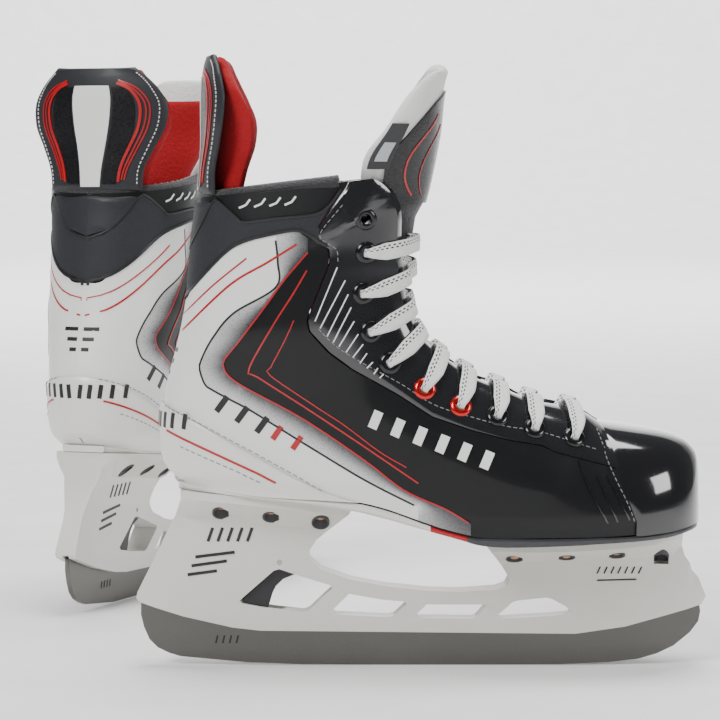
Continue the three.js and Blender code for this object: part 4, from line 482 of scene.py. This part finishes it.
def gsheet(fn, k0, k1, v0, v1, h0, h1, nk=50, nv=40, rnd=None, vk=None):
    A, Vv = np.meshgrid(np.linspace(k0, k1, nk), np.linspace(v0, v1, nv), indexing="ij")
    V2 = Vv if vk is None else vk(A, Vv); m, hh = (h0 + h1) / 2, (h1 - h0) / 2
    r = edge_round(A, Vv, k0 - 0.01, k1 + 0.01, v0 - 0.002, v1 + 0.002, rnd[0], rnd[1]) if rnd else 1.0
    return thick(fn(A, V2), m - hh * r, m + hh * r, (-300, 0, 280))
v, f = gsheet(guard, 0, 7, -1, 1, 0, 3.6, rnd=(0.12, 0.04)); put("tendon_guard", v, f, M["guard"], body="tendon", rep=["tendon_guard"], slot="guard_plastic", angle=50)
v, f = gsheet(pad, 0, 6.6, -1, 1, -0.2, 6.4, rnd=(0.5, 0.14)); put("tendon_pad", v, f, M["redpad"], body="tendon", rep=["tendon_pad"], slot="pad_red", padded=0.7)
def gline(pts, width, h=-0.8, t=0.45):
    L = smooth_line(pts, 0.12); P = guard(L[:, 0], L[:, 1]); e = 0.01; a = guard(L[:, 0] + e, L[:, 1]) - P; c = guard(L[:, 0], L[:, 1] + e) - P; N = np.cross(a, c); N /= np.linalg.norm(N, axis=1, keepdims=True); N[N[:, 0] > 0] *= -1
    return tube(P - N * h, 0, 6, flat=(width, t, N))
v, f = gsheet(guard, 0.15, 5.1, -1, 1, -0.55, 0.1, 40, 14, vk=lambda A, v: v * (0.20 + 0.085 * np.clip(A / 4.4, 0, 1))); put("guard_panel_white", v, f, M["white"], body="tendon", rep=["tendon_guard"], slot="guard_plastic")
v, f = join([gsheet(guard, 0.3, 5.0, 0, 1, -0.5, 0.1, 40, 12, vk=lambda A, v, s=s: s * (0.24 + 0.08 * np.clip(A / 4.4, 0, 1) + v * (0.26 + 0.06 * np.sin(A * 0.7)))) for s in (-1, 1)]); put("guard_panel_black", v, f, M["shield"], body="tendon", rep=["tendon_guard"], slot="guard_plastic")
v, f = join([gline([(0.4, s * 0.56), (1.5, s * 0.60), (2.8, s * 0.66), (4.0, s * 0.66), (4.9, s * 0.58), (5.3, s * 0.42)], 1.8) for s in (-1, 1)] + [gline([(0.5, s * (0.62 + j)), (1.5, s * (0.68 + j)), (2.8, s * (0.73 + j)), (4.0, s * (0.73 + j)), (4.9 + j * 2, s * (0.64 + j)), (5.5 + j * 2, s * 0.46)], 0.9, -0.4) for s in (-1, 1) for j in (0.0, 0.05)]); put("guard_line_red", v, f, M["red"], body="tendon", rep=["tendon_guard"], slot="guard_plastic")
def gstitch(v_at, k0, k1, n, r=0.35):
    out = []
    for a in np.linspace(k0, k1, n)[:-1]:
        q = np.linspace(a, a + (k1 - k0) / n * 0.6, 4); p = guard(q, np.array([v_at(t) for t in q])); p[:, 0] -= 0.15; out.append(tube(p, r, 5))
    return out
v, f = join(gstitch(lambda k: 0.90, 0.3, 6.6, 34) + gstitch(lambda k: -0.90, 0.3, 6.6, 34)); put("guard_stitch", v, f, M["thread"], body="tendon", rep=["tendon_guard"], slot="guard_plastic")

# ---- laces ---------------------------------------------------------------
eyI = edge_near(EYES[:, 0], EYES[:, 1])[1]
def nrm1(x, z, s): return skin_normal(np.array([float(x)]), np.array([float(z)]), s)[0]
def l_pt(k, s, h): x, z = EYES[k]; n = nrm1(x, z, s); return [np.array([x, s * float(w(x, z)), z]) + n * h, n, True]
def l_edge(i, s, h): e = Ec(i); q = outward(i); x, z = e - q * 0.6; n = nrm1(x, z, s); return [np.array([x, s * float(w(x, z)), z]) + n * h, n, False]
def l_lip(i, s, h=3.9): e = l_edge(i, s, h); e[0][1] -= s * 1.4; return e
def l_mid(k, i, s, h): a = EYES[k]; b = Ec(i); x, z = (a + b) / 2; n = nrm1(x, z, s); return [np.array([x, s * float(w(x, z)), z]) + n * h, n, False]
def l_over(i, y, h): f = math.asin(max(-1, min(1, y / float(loW(i))))); q = outward(i); p = tongue_low(np.array(float(i)), f); n = np.array([q[0] * math.cos(f), math.sin(f), q[1] * math.cos(f)]); n /= np.linalg.norm(n); return [p + n * h, n, False]
def l_span(k, s):
    a, b = eyI[k], eyI[k + 1]; at = lambda u: a + (b - a) * u; up_ = s < 0; ws = abs(l_edge(at(0.25), s, 0)[0][1])
    return [l_pt(k, s, -6.4), l_pt(k, s, 4.6), l_mid(k, at(0.12), s, 3.6 if k else 4.6), l_lip(at(0.25), s, 4.0 if k else 4.6), l_over(at(0.38), s * ws * 0.45, 3.6), l_over(at(0.5), 0, 3.7 if up_ else 1.4), l_over(at(0.62), -s * ws * 0.5, 1.6), l_edge(at(0.78), -s, -SHELL - 2.8), l_mid(k + 1, at(0.9), -s, -SHELL - 3.4)]
def l_run(s):
    L, q = [], s
    for k in range(8): L += l_span(k, q); q = -q
    return L + [l_pt(8, q, -6.4), l_pt(8, q, 4.6), l_mid(8, eyI[8] + 0.15, q, 3.6), l_lip(eyI[8] + 0.35, q, 4.0), l_over(eyI[8] + 0.5, q * 9, 3.4), l_over(eyI[8] + 0.62, -q * 3, 3.4 if q < 0 else 1.2), l_over(eyI[8] + 0.7, -q * 12, 1.4 if q < 0 else 0.6)]
UPN = np.array([0.25, 0, 0.97]); base = [[np.array([80.5, y, zz]), UPN.copy(), False] for y, zz in ((-23, 123.6), (-13, 130.2), (0, 132.6), (13, 130.2), (23, 123.6))]
L = l_run(-1)[::-1] + base + l_run(1)
Pp = np.array([c[0] for c in L]); Tt = np.array([Pp[min(len(L) - 1, k + 1)] - Pp[max(0, k - 1)] for k in range(len(L))]); Tt /= np.linalg.norm(Tt, axis=1, keepdims=True)
Bb = [None if c[2] else np.cross(Tt[k], c[1]) / np.linalg.norm(np.cross(Tt[k], c[1])) for k, c in enumerate(L)]
for k, c in enumerate(L):
    if c[2]:
        i = j = k
        while i > 0 and L[i][2]: i -= 1
        while j < len(L) - 1 and L[j][2]: j += 1
        p = Bb[i] if Bb[i] is not None and not L[i][2] else Bb[j]; q = Bb[j] if Bb[j] is not None and not L[j][2] else p; b = p + q * (-1 if p @ q < 0 else 1); Bb[k] = b / np.linalg.norm(b)
for k in range(1, len(L)):
    if Bb[k] @ Bb[k - 1] < 0: Bb[k] = -Bb[k]
Bb = np.array(Bb); Wd = np.array([4.3 if c[2] else 8.8 for c in L]); u = np.linspace(0, len(L) - 1, (len(L) - 1) * 6 + 1)
def cr(Q): f = spline(Q); return f(u)
PP = cr(Pp); BB = cr(Bb); BB /= np.linalg.norm(BB, axis=1, keepdims=True); WW = np.interp(u, np.arange(len(L)), Wd); TT = np.gradient(PP, axis=0); TT /= np.linalg.norm(TT, axis=1, keepdims=True)
NN = np.cross(BB, TT); NN /= np.linalg.norm(NN, axis=1, keepdims=True); s_len = np.concatenate([[0], np.cumsum(np.linalg.norm(np.diff(PP, axis=0), axis=1))])
prof = [(-1, 0), (-0.92, 0.75), (-0.5, 1), (0, 1.05), (0.5, 1), (0.92, 0.75), (1, 0), (0.92, -0.75), (0.5, -1), (0, -1.05), (-0.5, -1), (-0.92, -0.75)]
V = np.stack([PP + BB * (a * WW[:, None] / 2) + NN * (c * 0.65) for a, c in prof], 1).reshape(-1, 3); n = len(prof); F = [(k * n + j, k * n + (j + 1) % n, (k + 1) * n + (j + 1) % n, (k + 1) * n + j) for k in range(len(PP) - 1) for j in range(n)] + [tuple(range(n)), tuple((len(PP) - 1) * n + j for j in range(n - 1, -1, -1))]
luv = np.stack([np.repeat(s_len, n), np.tile([a for a, _ in prof], len(PP)), np.zeros(len(PP) * n)], 1).astype(np.float32)
put("laces", V, F, M["lace"], rep=["laces"], slot="lace_woven", angle=60)
for sk in ("right", "left"):
    at = PIECES[sk + "_v_laces"].data.attributes.new("luv", "FLOAT_VECTOR", "POINT"); at.data.foreach_set("vector", luv.ravel())

# ---- graphics and seams --------------------------------------------------
def sk2(fn, name, m, **kw): v, f = both(fn); put(name, v, f, M[m], rep=["quarter_lateral", "quarter_medial"], slot="quarter_film", **kw)
rear = lambda za, zb_, n=24: [(float(xb(z)), float(z)) for z in np.linspace(za, zb_, n)]
piping = onto([(186, 298), (192, 289), (224, 254), (245, 241), (276, 233), (297, 230), (310, 235), (318, 241), (329, 247)]); pip = smooth_line(piping, 4)
dark = smooth_line(onto([(308, 238), (308, 252), (285, 279), (264, 308), (240, 340), (225, 359), (224, 367), (229, 376), (248, 389), (303, 419), (364, 460), (405, 491), (450, 512), (472, 525)]), 4)
black = smooth_line(onto([(276, 233), (278, 262), (276, 287), (234, 313), (213, 338), (202, 359), (200, 369), (205, 384), (211, 389), (229, 399), (248, 409), (274, 425), (311, 448), (364, 480), (419, 508)]), 4)
sl = lambda a, b, n=16: [(x, float(zs(x)) + 1.0) for x in np.linspace(a, b, n)]
zp = float(piping[0][1])
white_poly = rear(98, zp) + [tuple(p) for p in pip if p[0] < black[0][0]] + [tuple(p) for p in black] + sl(black[-1][0], -122)
silver_poly = [tuple(p) for p in black[::-1]] + [tuple(p) for p in pip if black[0][0] < p[0] < dark[0][0]] + [tuple(p) for p in dark] + sl(dark[-1][0], black[-1][0], 8)
sk2(lambda s: patch(white_poly, 0.12, 0.28, s), "panel_pearl", "white")
sk2(lambda s: patch(silver_poly, 0.12, 0.28, s), "panel_silver", "silver")
def near_line(p, L): return np.hypot(p[:, None, 0] - L[None, :, 0], p[:, None, 1] - L[None, :, 1]).min(1)
for sk in ("right", "left"):
    me = PIECES[sk + "_v_panel_silver"].data; at = me.attributes["loc"]; a = np.zeros(len(me.vertices) * 3, np.float32); at.data.foreach_get("vector", a); a = a.reshape(-1, 3) * 1000
    p = a[:, [0, 2]]; da, db = near_line(p, dark), near_line(p, black); o_ = np.zeros_like(a); o_[:, 0] = db / (da + db + 1e-6); at.data.foreach_set("vector", o_.ravel())
top = smooth_line(onto([(192, 245), (204, 222), (213, 203), (217, 198), (238, 218), (245, 222), (276, 218), (314, 214), (329, 205), (341, 188)]), 4)
collar_poly = rear(zp, float(top[0][1]), 8) + [tuple(p) for p in top] + [tuple(p) for p in onto([(318, 226)])] + [tuple(p) for p in pip[::-1]]
sk2(lambda s: patch(collar_poly, 0.12, 0.5, s), "panel_collar", "collar")
g_ = onto([(213, 203)])[0]; KG = int(np.hypot(*(top - g_).T).argmin()); sk2(lambda s: patch(rear(float(top[0][1]), 247.5, 12) + [(float(xb(247.5)) + 8, 247.5)] + [tuple(p) for p in top[1:KG + 1][::-1]], 0.15, 1.0, s), "guard_skirt", "guard")
sk2(lambda s: ribbon([(184.5, 300), (186, 297), (192, 289), (224, 254), (245, 241), (276, 233), (297, 230), (310, 235), (318, 241), (327, 246)], 1.7, 0.7, s, 0.9), "piping", "line")
sk2(lambda s: ribbon([(189, 249), (193, 243), (204, 222), (213, 203), (217, 199), (238, 218), (245, 222), (276, 218), (314, 214), (329, 205), (341, 189)], 1.3, 0.7, s, 0.8), "collar_seam", "line")
sk2(lambda s: ribbon([(276, 240), (278, 262), (276, 287), (234, 313), (213, 338), (202, 359), (200, 369), (205, 384), (211, 389), (229, 399), (248, 409), (274, 425), (311, 448), (364, 480), (415, 506)], 1.1, 0.45, s, 0.3), "line_black", "line")
sk2(lambda s: join([ribbon([(179, 334), (184, 329), (230, 285), (268, 262), (297, 244)], 1.2, 0.45, s), ribbon([(181, 317), (190, 308), (215, 284), (247, 258)], 0.9, 0.45, s),
    ribbon([(307, 270), (293, 294), (272, 327), (249, 369), (258, 377), (303, 406), (344, 433), (384, 460), (419, 484)], 0.9, 0.3, s), ribbon([(294, 320), (285, 340), (271, 367), (270, 375), (315, 406), (344, 425), (380, 452), (407, 468)], 0.65, 0.3, s),
    ribbon([(308, 252), (285, 279), (264, 308), (240, 340), (225, 359), (224, 367), (229, 376), (248, 389), (303, 419), (364, 460), (405, 491), (446, 510), (470, 524)], 0.9, 0.45, s)]), "lines_red", "red")
hash_px = [((337, 267), (315, 321)), ((345, 280), (320, 328)), ((348, 294), (327, 336)), ((351, 307), (333, 342)), ((354, 321), (339, 346)), ((358, 334), (346, 352)), ((363, 344), (353, 357)), ((367, 353), (360, 363)), ((373, 362), (367, 368)), ((378, 368), (374, 374)), ((384, 374), (380, 378))]
sk2(lambda s: join([ribbon([a, ((a[0] + b[0]) / 2, (a[1] + b[1]) / 2), b], 0.65, 1.15, s, 0.3) for a, b in hash_px]), "hash_white", "white")
def slant(a, b, n, hgt, lean, wd, s, gaps=()): return [ribbon([(a[0] + (b[0] - a[0]) * t + lean / 2, a[1] + (b[1] - a[1]) * t - hgt / 2), (a[0] + (b[0] - a[0]) * t, a[1] + (b[1] - a[1]) * t), (a[0] + (b[0] - a[0]) * t - lean / 2, a[1] + (b[1] - a[1]) * t + hgt / 2)], wd, 0.45, s, 0.3) for k, t in enumerate(np.linspace(0, 1, n)) if k not in gaps]
sk2(lambda s: join(slant((376, 420), (488, 461), 6, 17, 7, 5.2, s)), "emblem_bars", "white")
sk2(lambda s: join(slant((222, 404), (262, 425), 3, 15, 11, 3.4, s)), "emblem_dark", "line")
sk2(lambda s: join(slant((277, 433), (297, 443), 2, 13, 9, 3.2, s)), "emblem_red", "red")
sk2(lambda s: join([ribbon([(240 + k * 15, 207.5 - k), (247 + k * 15, 204.5 - k), (251 + k * 15, 199 - k)], 1.1, 0.72, s, 0.3) for k in range(4)]), "collar_marks", "white")
sk2(lambda s: join([stitches([(168, 405), (201, 423), (242, 446), (282, 468), (323, 490)], s, 2.3, 2.4, 1.4, 0.3), stitches([(182, 446), (221, 464), (262, 482)], s, 2.3, 2.4, 1.4, 0.3)]), "heel_stitch", "threadgrey")
sk2(lambda s: ribbon([(170, 430), (221, 456), (276, 482)], 1.3, 2.3, s), "heel_line_red", "red")
sk2(lambda s: join([stitches([(x, y) for x, y in L_], s, 1.1, 2.0, 1.3, 0.26) for L_ in ([(343, 204), (322, 230), (322, 239), (336, 249), (338, 262)], [(318, 328), (334, 344), (356, 359), (401, 384), (434, 405), (472, 418), (509, 428), (540, 433), (600, 452)])]), "stay_stitch", "threadgrey")
sk2(lambda s: join([ribbon(L_, 0.9, 0.2, s, 0.7) for L_ in ([(580, 461), (590, 487), (610, 525)], [(599, 477), (609, 499), (620, 524)], [(609, 477), (621, 499), (632, 522)])]), "toe_ridges", "toe")
sk2(lambda s: stitches([(597, 430), (604, 447), (609, 462), (618, 482), (629, 504), (637, 524)], s, 1.1, 2.0, 1.3, 0.26), "toe_stitch", "threadgrey")

# ---- holder, blade, trigger, rivets --------------------------------------
def from_cad(node, name, m, body, bevel):
    for sk in ("right", "left"):
        src = bpy.data.objects[sk + "_" + node]
        me = bpy.data.meshes.new_from_object(src); me.transform(src.matrix_world); me.materials.clear(); me.materials.append(m)
        bm = bmesh.new(); bm.from_mesh(me); bmesh.ops.remove_doubles(bm, verts=bm.verts, dist=2e-5); bmesh.ops.dissolve_limit(bm, angle_limit=math.radians(4), verts=bm.verts, edges=bm.edges); bm.to_mesh(me); bm.free()
        me.polygons.foreach_set("use_smooth", [True] * len(me.polygons)); me.set_sharp_from_angle(angle=math.radians(40))
        ob = bpy.data.objects.new(sk + "_v_" + name, me); bpy.context.scene.collection.objects.link(ob)
        if bevel:
            b = ob.modifiers.new("bevel", "BEVEL"); b.width = bevel / 1000; b.segments = 3; b.limit_method = "ANGLE"; b.angle_limit = math.radians(32); b.harden_normals = True
        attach(ob, sk + "_" + body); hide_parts(sk + "_" + node); PIECES[ob.name] = ob
from_cad("blade_holder", "blade_holder", M["holder"], "boot", 0.9)
from_cad("runner", "runner", M["steel"], "blade", 0.25)
from_cad("trigger", "trigger", M["trigger"], "lever", 0.8)
RIV = [(-104.9, 17), (-78.4, 18), (-52.5, 17), (49.8, 21), (76.9, 24), (103.4, 23), (127.7, 15)]
def dome(x, y, side_s):
    c = np.array([x, side_s * y, 0.0]); z0 = float(zb(x)) - 4.5; pr = [(0.01, z0 - 4.6), (1.2, z0 - 4.5), (2.2, z0 - 4.0), (2.8, z0 - 3.2), (3.0, z0), (1.8, z0 + 0.05), (1.8, z0 + 7), (0.01, z0 + 7)]
    return lathe(c, np.array([0, 0, 1.0]), np.array([1.0, 0, 0]), np.array([0, 1.0, 0]), pr, 20, closed=False)
fhw = pchip([(-140, 6), (-131, 13), (-124, 20), (-108, 25), (-80, 26.5), (-55, 25), (-42, 20), (-30, 10), (20, 10), (34, 18), (48, 28), (77, 32), (103, 31), (127, 23), (138, 15), (150, 8)])
# Ring lining the wall of each rivet pocket in the holder, coloured as painted shade: the walls are holder plastic lying
# in shade
def cup(x, y, ss):
    zt = float(zb(x)) - 0.3; f_ = float(fhw(x)); nn = 11.5 if x < 0 else 12.5; dz = 10.8 if x < 0 else 7.8; k = float(shear(x)); V = []; m = 28
    for r, top_ in ((3.75, 0), (4.75, 0), (4.75, 1), (3.75, 1)):
        for j in range(m):
            a = 2 * math.pi * j / m; px_, py = x + r * math.cos(a), ss * y + k + r * math.sin(a); sl_ = zt - 4.2 - (f_ - abs(py)) * dz / max(1.0, f_ - nn); V.append((px_, py, zt - 3.6 if top_ else min(zt - 4.3, max(sl_ - 0.12, zt - 15))))
    return np.array(V), [(i * m + j, i * m + (j + 1) % m, ((i + 1) % 4) * m + (j + 1) % m, ((i + 1) % 4) * m + j) for i in range(4) for j in range(m)]
v, f = join([cup(x, y, s) for x, y in RIV for s in (-1, 1)]); put("rivet_pocket_shade_rings", v, f, M["shade_lining"], rep=["blade_holder"], slot="holder_plastic", bend=False, angle=50)
for nm, rows in (("rivets_rear", RIV[:3]), ("rivets_front", RIV[3:])):
    v, f = join([dome(x, y, s) for x, y in rows for s in (-1, 1)]); put(nm, v, f, M["copper"], rep=[nm], slot="rivet_copper", angle=50)
for node, m in (("trigger_pin", "pin"), ("insole_board", "board"), ("footbed", "footbed")):
    for sk in ("right", "left"):
        ob = bpy.data.objects.get(sk + "_" + node)
        if ob: ob.data.materials.clear(); ob.data.materials.append(M[m])

def rp(yy, z): W0 = float(Az(z)); return (float(xb(z)) + 0.03 + 48 * (1 - (1 - min(0.98, yy / W0) ** 2.1) ** (1 / 2.1)), z)
sk2(lambda s: join([ribbon([rp(0.0, z), rp(m / 2, z), rp(m, z)], 2.4, 0.45, s, 0.3, raw=True) for z, m in ((169, 11), (163, 8.5), (157, 6))]), "rear_emblem", "line")
sk2(lambda s: join([ribbon([rp(y, 128.5), rp(y + 0.5, 132.5), rp(y + 1.0, 136.5)], 2.8, 2.3, s, 0.3, raw=True) for y in (2.6, 8, 13.4, 18.8, 24.2)]), "heel_marks", "line")

# ---- generic marks on the holder ------------------------------------------
from mathutils.bvhtree import BVHTree
def local_tree(node):
    o = bpy.data.objects["right_" + node]; me = o.data; V = [(o.matrix_world @ v_.co) * 1000 - Vector(RO) for v_ in me.vertices]; return BVHTree.FromPolygons(V, [tuple(p_.vertices) for p_ in me.polygons])
def side_bars(tree, bars_, s, width, t=0.3):
    out = []
    for (a, b_) in bars_:
        P, N = [], []
        for q in np.linspace(0, 1, 5):
            x = a[0] + (b_[0] - a[0]) * q; z = a[1] + (b_[1] - a[1]) * q; hit = tree.ray_cast(Vector((x, s * 90, z)), Vector((0, -s, 0)))
            if hit[0] is None: break
            P.append(tuple(hit[0] + Vector((0, s, 0)) * 0.15)); N.append((0, s, 0))
        if len(P) == 5: out.append(tube(P, 0, 6, flat=(width, t, N)))
    return out
HT = local_tree("blade_holder"); m2 = lambda x, y: ((x - 420) * PX * 0.985, (667 - y) * PX)
hb = [(m2(x + 4, 526), m2(x - 1, 540)) for x in (206, 216, 226, 236, 246)] + [(m2(192, 556), m2(232, 551)), (m2(188, 565), m2(224, 560)), (m2(184, 574), m2(214, 570))]
hf = [(m2(x + 2, 565), m2(x - 1, 572)) for x in (601, 608, 615, 622, 629, 636, 643)] + [(m2(600, 579), m2(640, 578))]
v, f = join([p for s in (-1, 1) for p in side_bars(HT, hb, s, 1.7) + side_bars(HT, hf, s, 0.8)]); put("holder_marks", v, f, M["line"], rep=["blade_holder"], slot="holder_plastic", bend=False)
RT = local_tree("runner"); v, f = join([p for s in (-1, 1) for p in side_bars(RT, [(m2(x + 1, 637), m2(x - 1, 645)) for x in (213, 220, 227, 234)], s, 1.0, 0.25)]); put("runner_marks", v, f, M["line"], body="blade", rep=["runner"], slot="runner_steel", bend=False)

# ---- floor, light and camera ---------------------------------------------
def quad(name, co, m):
    me = bpy.data.meshes.new(name); me.from_pydata(co, [], [(0, 1, 2, 3)]); ob = bpy.data.objects.new(name, me); bpy.context.scene.collection.objects.link(ob); me.materials.append(m); return ob
pale = mat("floor_pale", (0.93, 0.93, 0.93), 0.7, grain=3, bump=0.02, spec=0.2)
V, F, K = [], [], 14; prof_ = [(-11.0, 0.0), (7.0, 0.0)] + [(7.0 + 2.0 * math.sin(a), 2.0 - 2.0 * math.cos(a)) for a in np.linspace(0.1, HP, K)] + [(9.0, 8.0)]
for y, z in prof_: V += [(-11, y, z), (11, y, z)]
F = [(2 * i, 2 * i + 1, 2 * i + 3, 2 * i + 2) for i in range(len(prof_) - 1)]
me = bpy.data.meshes.new("floor"); me.from_pydata(V, [], F); me.polygons.foreach_set("use_smooth", [True] * len(F)); fl = bpy.data.objects.new("floor", me); bpy.context.scene.collection.objects.link(fl); me.materials.append(pale)
wd = bpy.data.worlds.new("soft"); bpy.context.scene.world = wd; wd.use_nodes = True; bg = wd.node_tree.nodes["Background"]; bg.inputs["Color"].default_value = (0.95, 0.97, 1.0, 1); bg.inputs["Strength"].default_value = 0.14
def area(name, loc, target, size, power, col=(1, 1, 1)):
    l = bpy.data.lights.new(name, "AREA"); l.energy = power; l.size = size; l.color = col; ob = bpy.data.objects.new(name, l); ob.location = loc; ob.rotation_euler = (Vector(target) - Vector(loc)).to_track_quat("-Z", "Y").to_euler(); bpy.context.scene.collection.objects.link(ob)
area("key", (-1.2, -1.7, 1.7), (0, 0, 0.12), 0.9, 52); area("fill", (1.9, -1.2, 1.0), (0, 0, 0.12), 0.8, 22); area("top", (0.1, 0.1, 1.9), (0, 0, 0.1), 1.1, 40); area("backdrop", (0, 3.2, 5.2), (0, 8.6, 1.6), 3.4, 1100)
cd = bpy.data.cameras.new("cam"); cd.lens = 154.55; cd.sensor_width = 36; cd.clip_start = 0.05; cam = bpy.data.objects.new("cam", cd); bpy.context.scene.collection.objects.link(cam); cam.location = (0.0063, -1.8408, 0.2689); cam.rotation_euler = (math.radians(86.3), 0, 0); bpy.context.scene.camera = cam
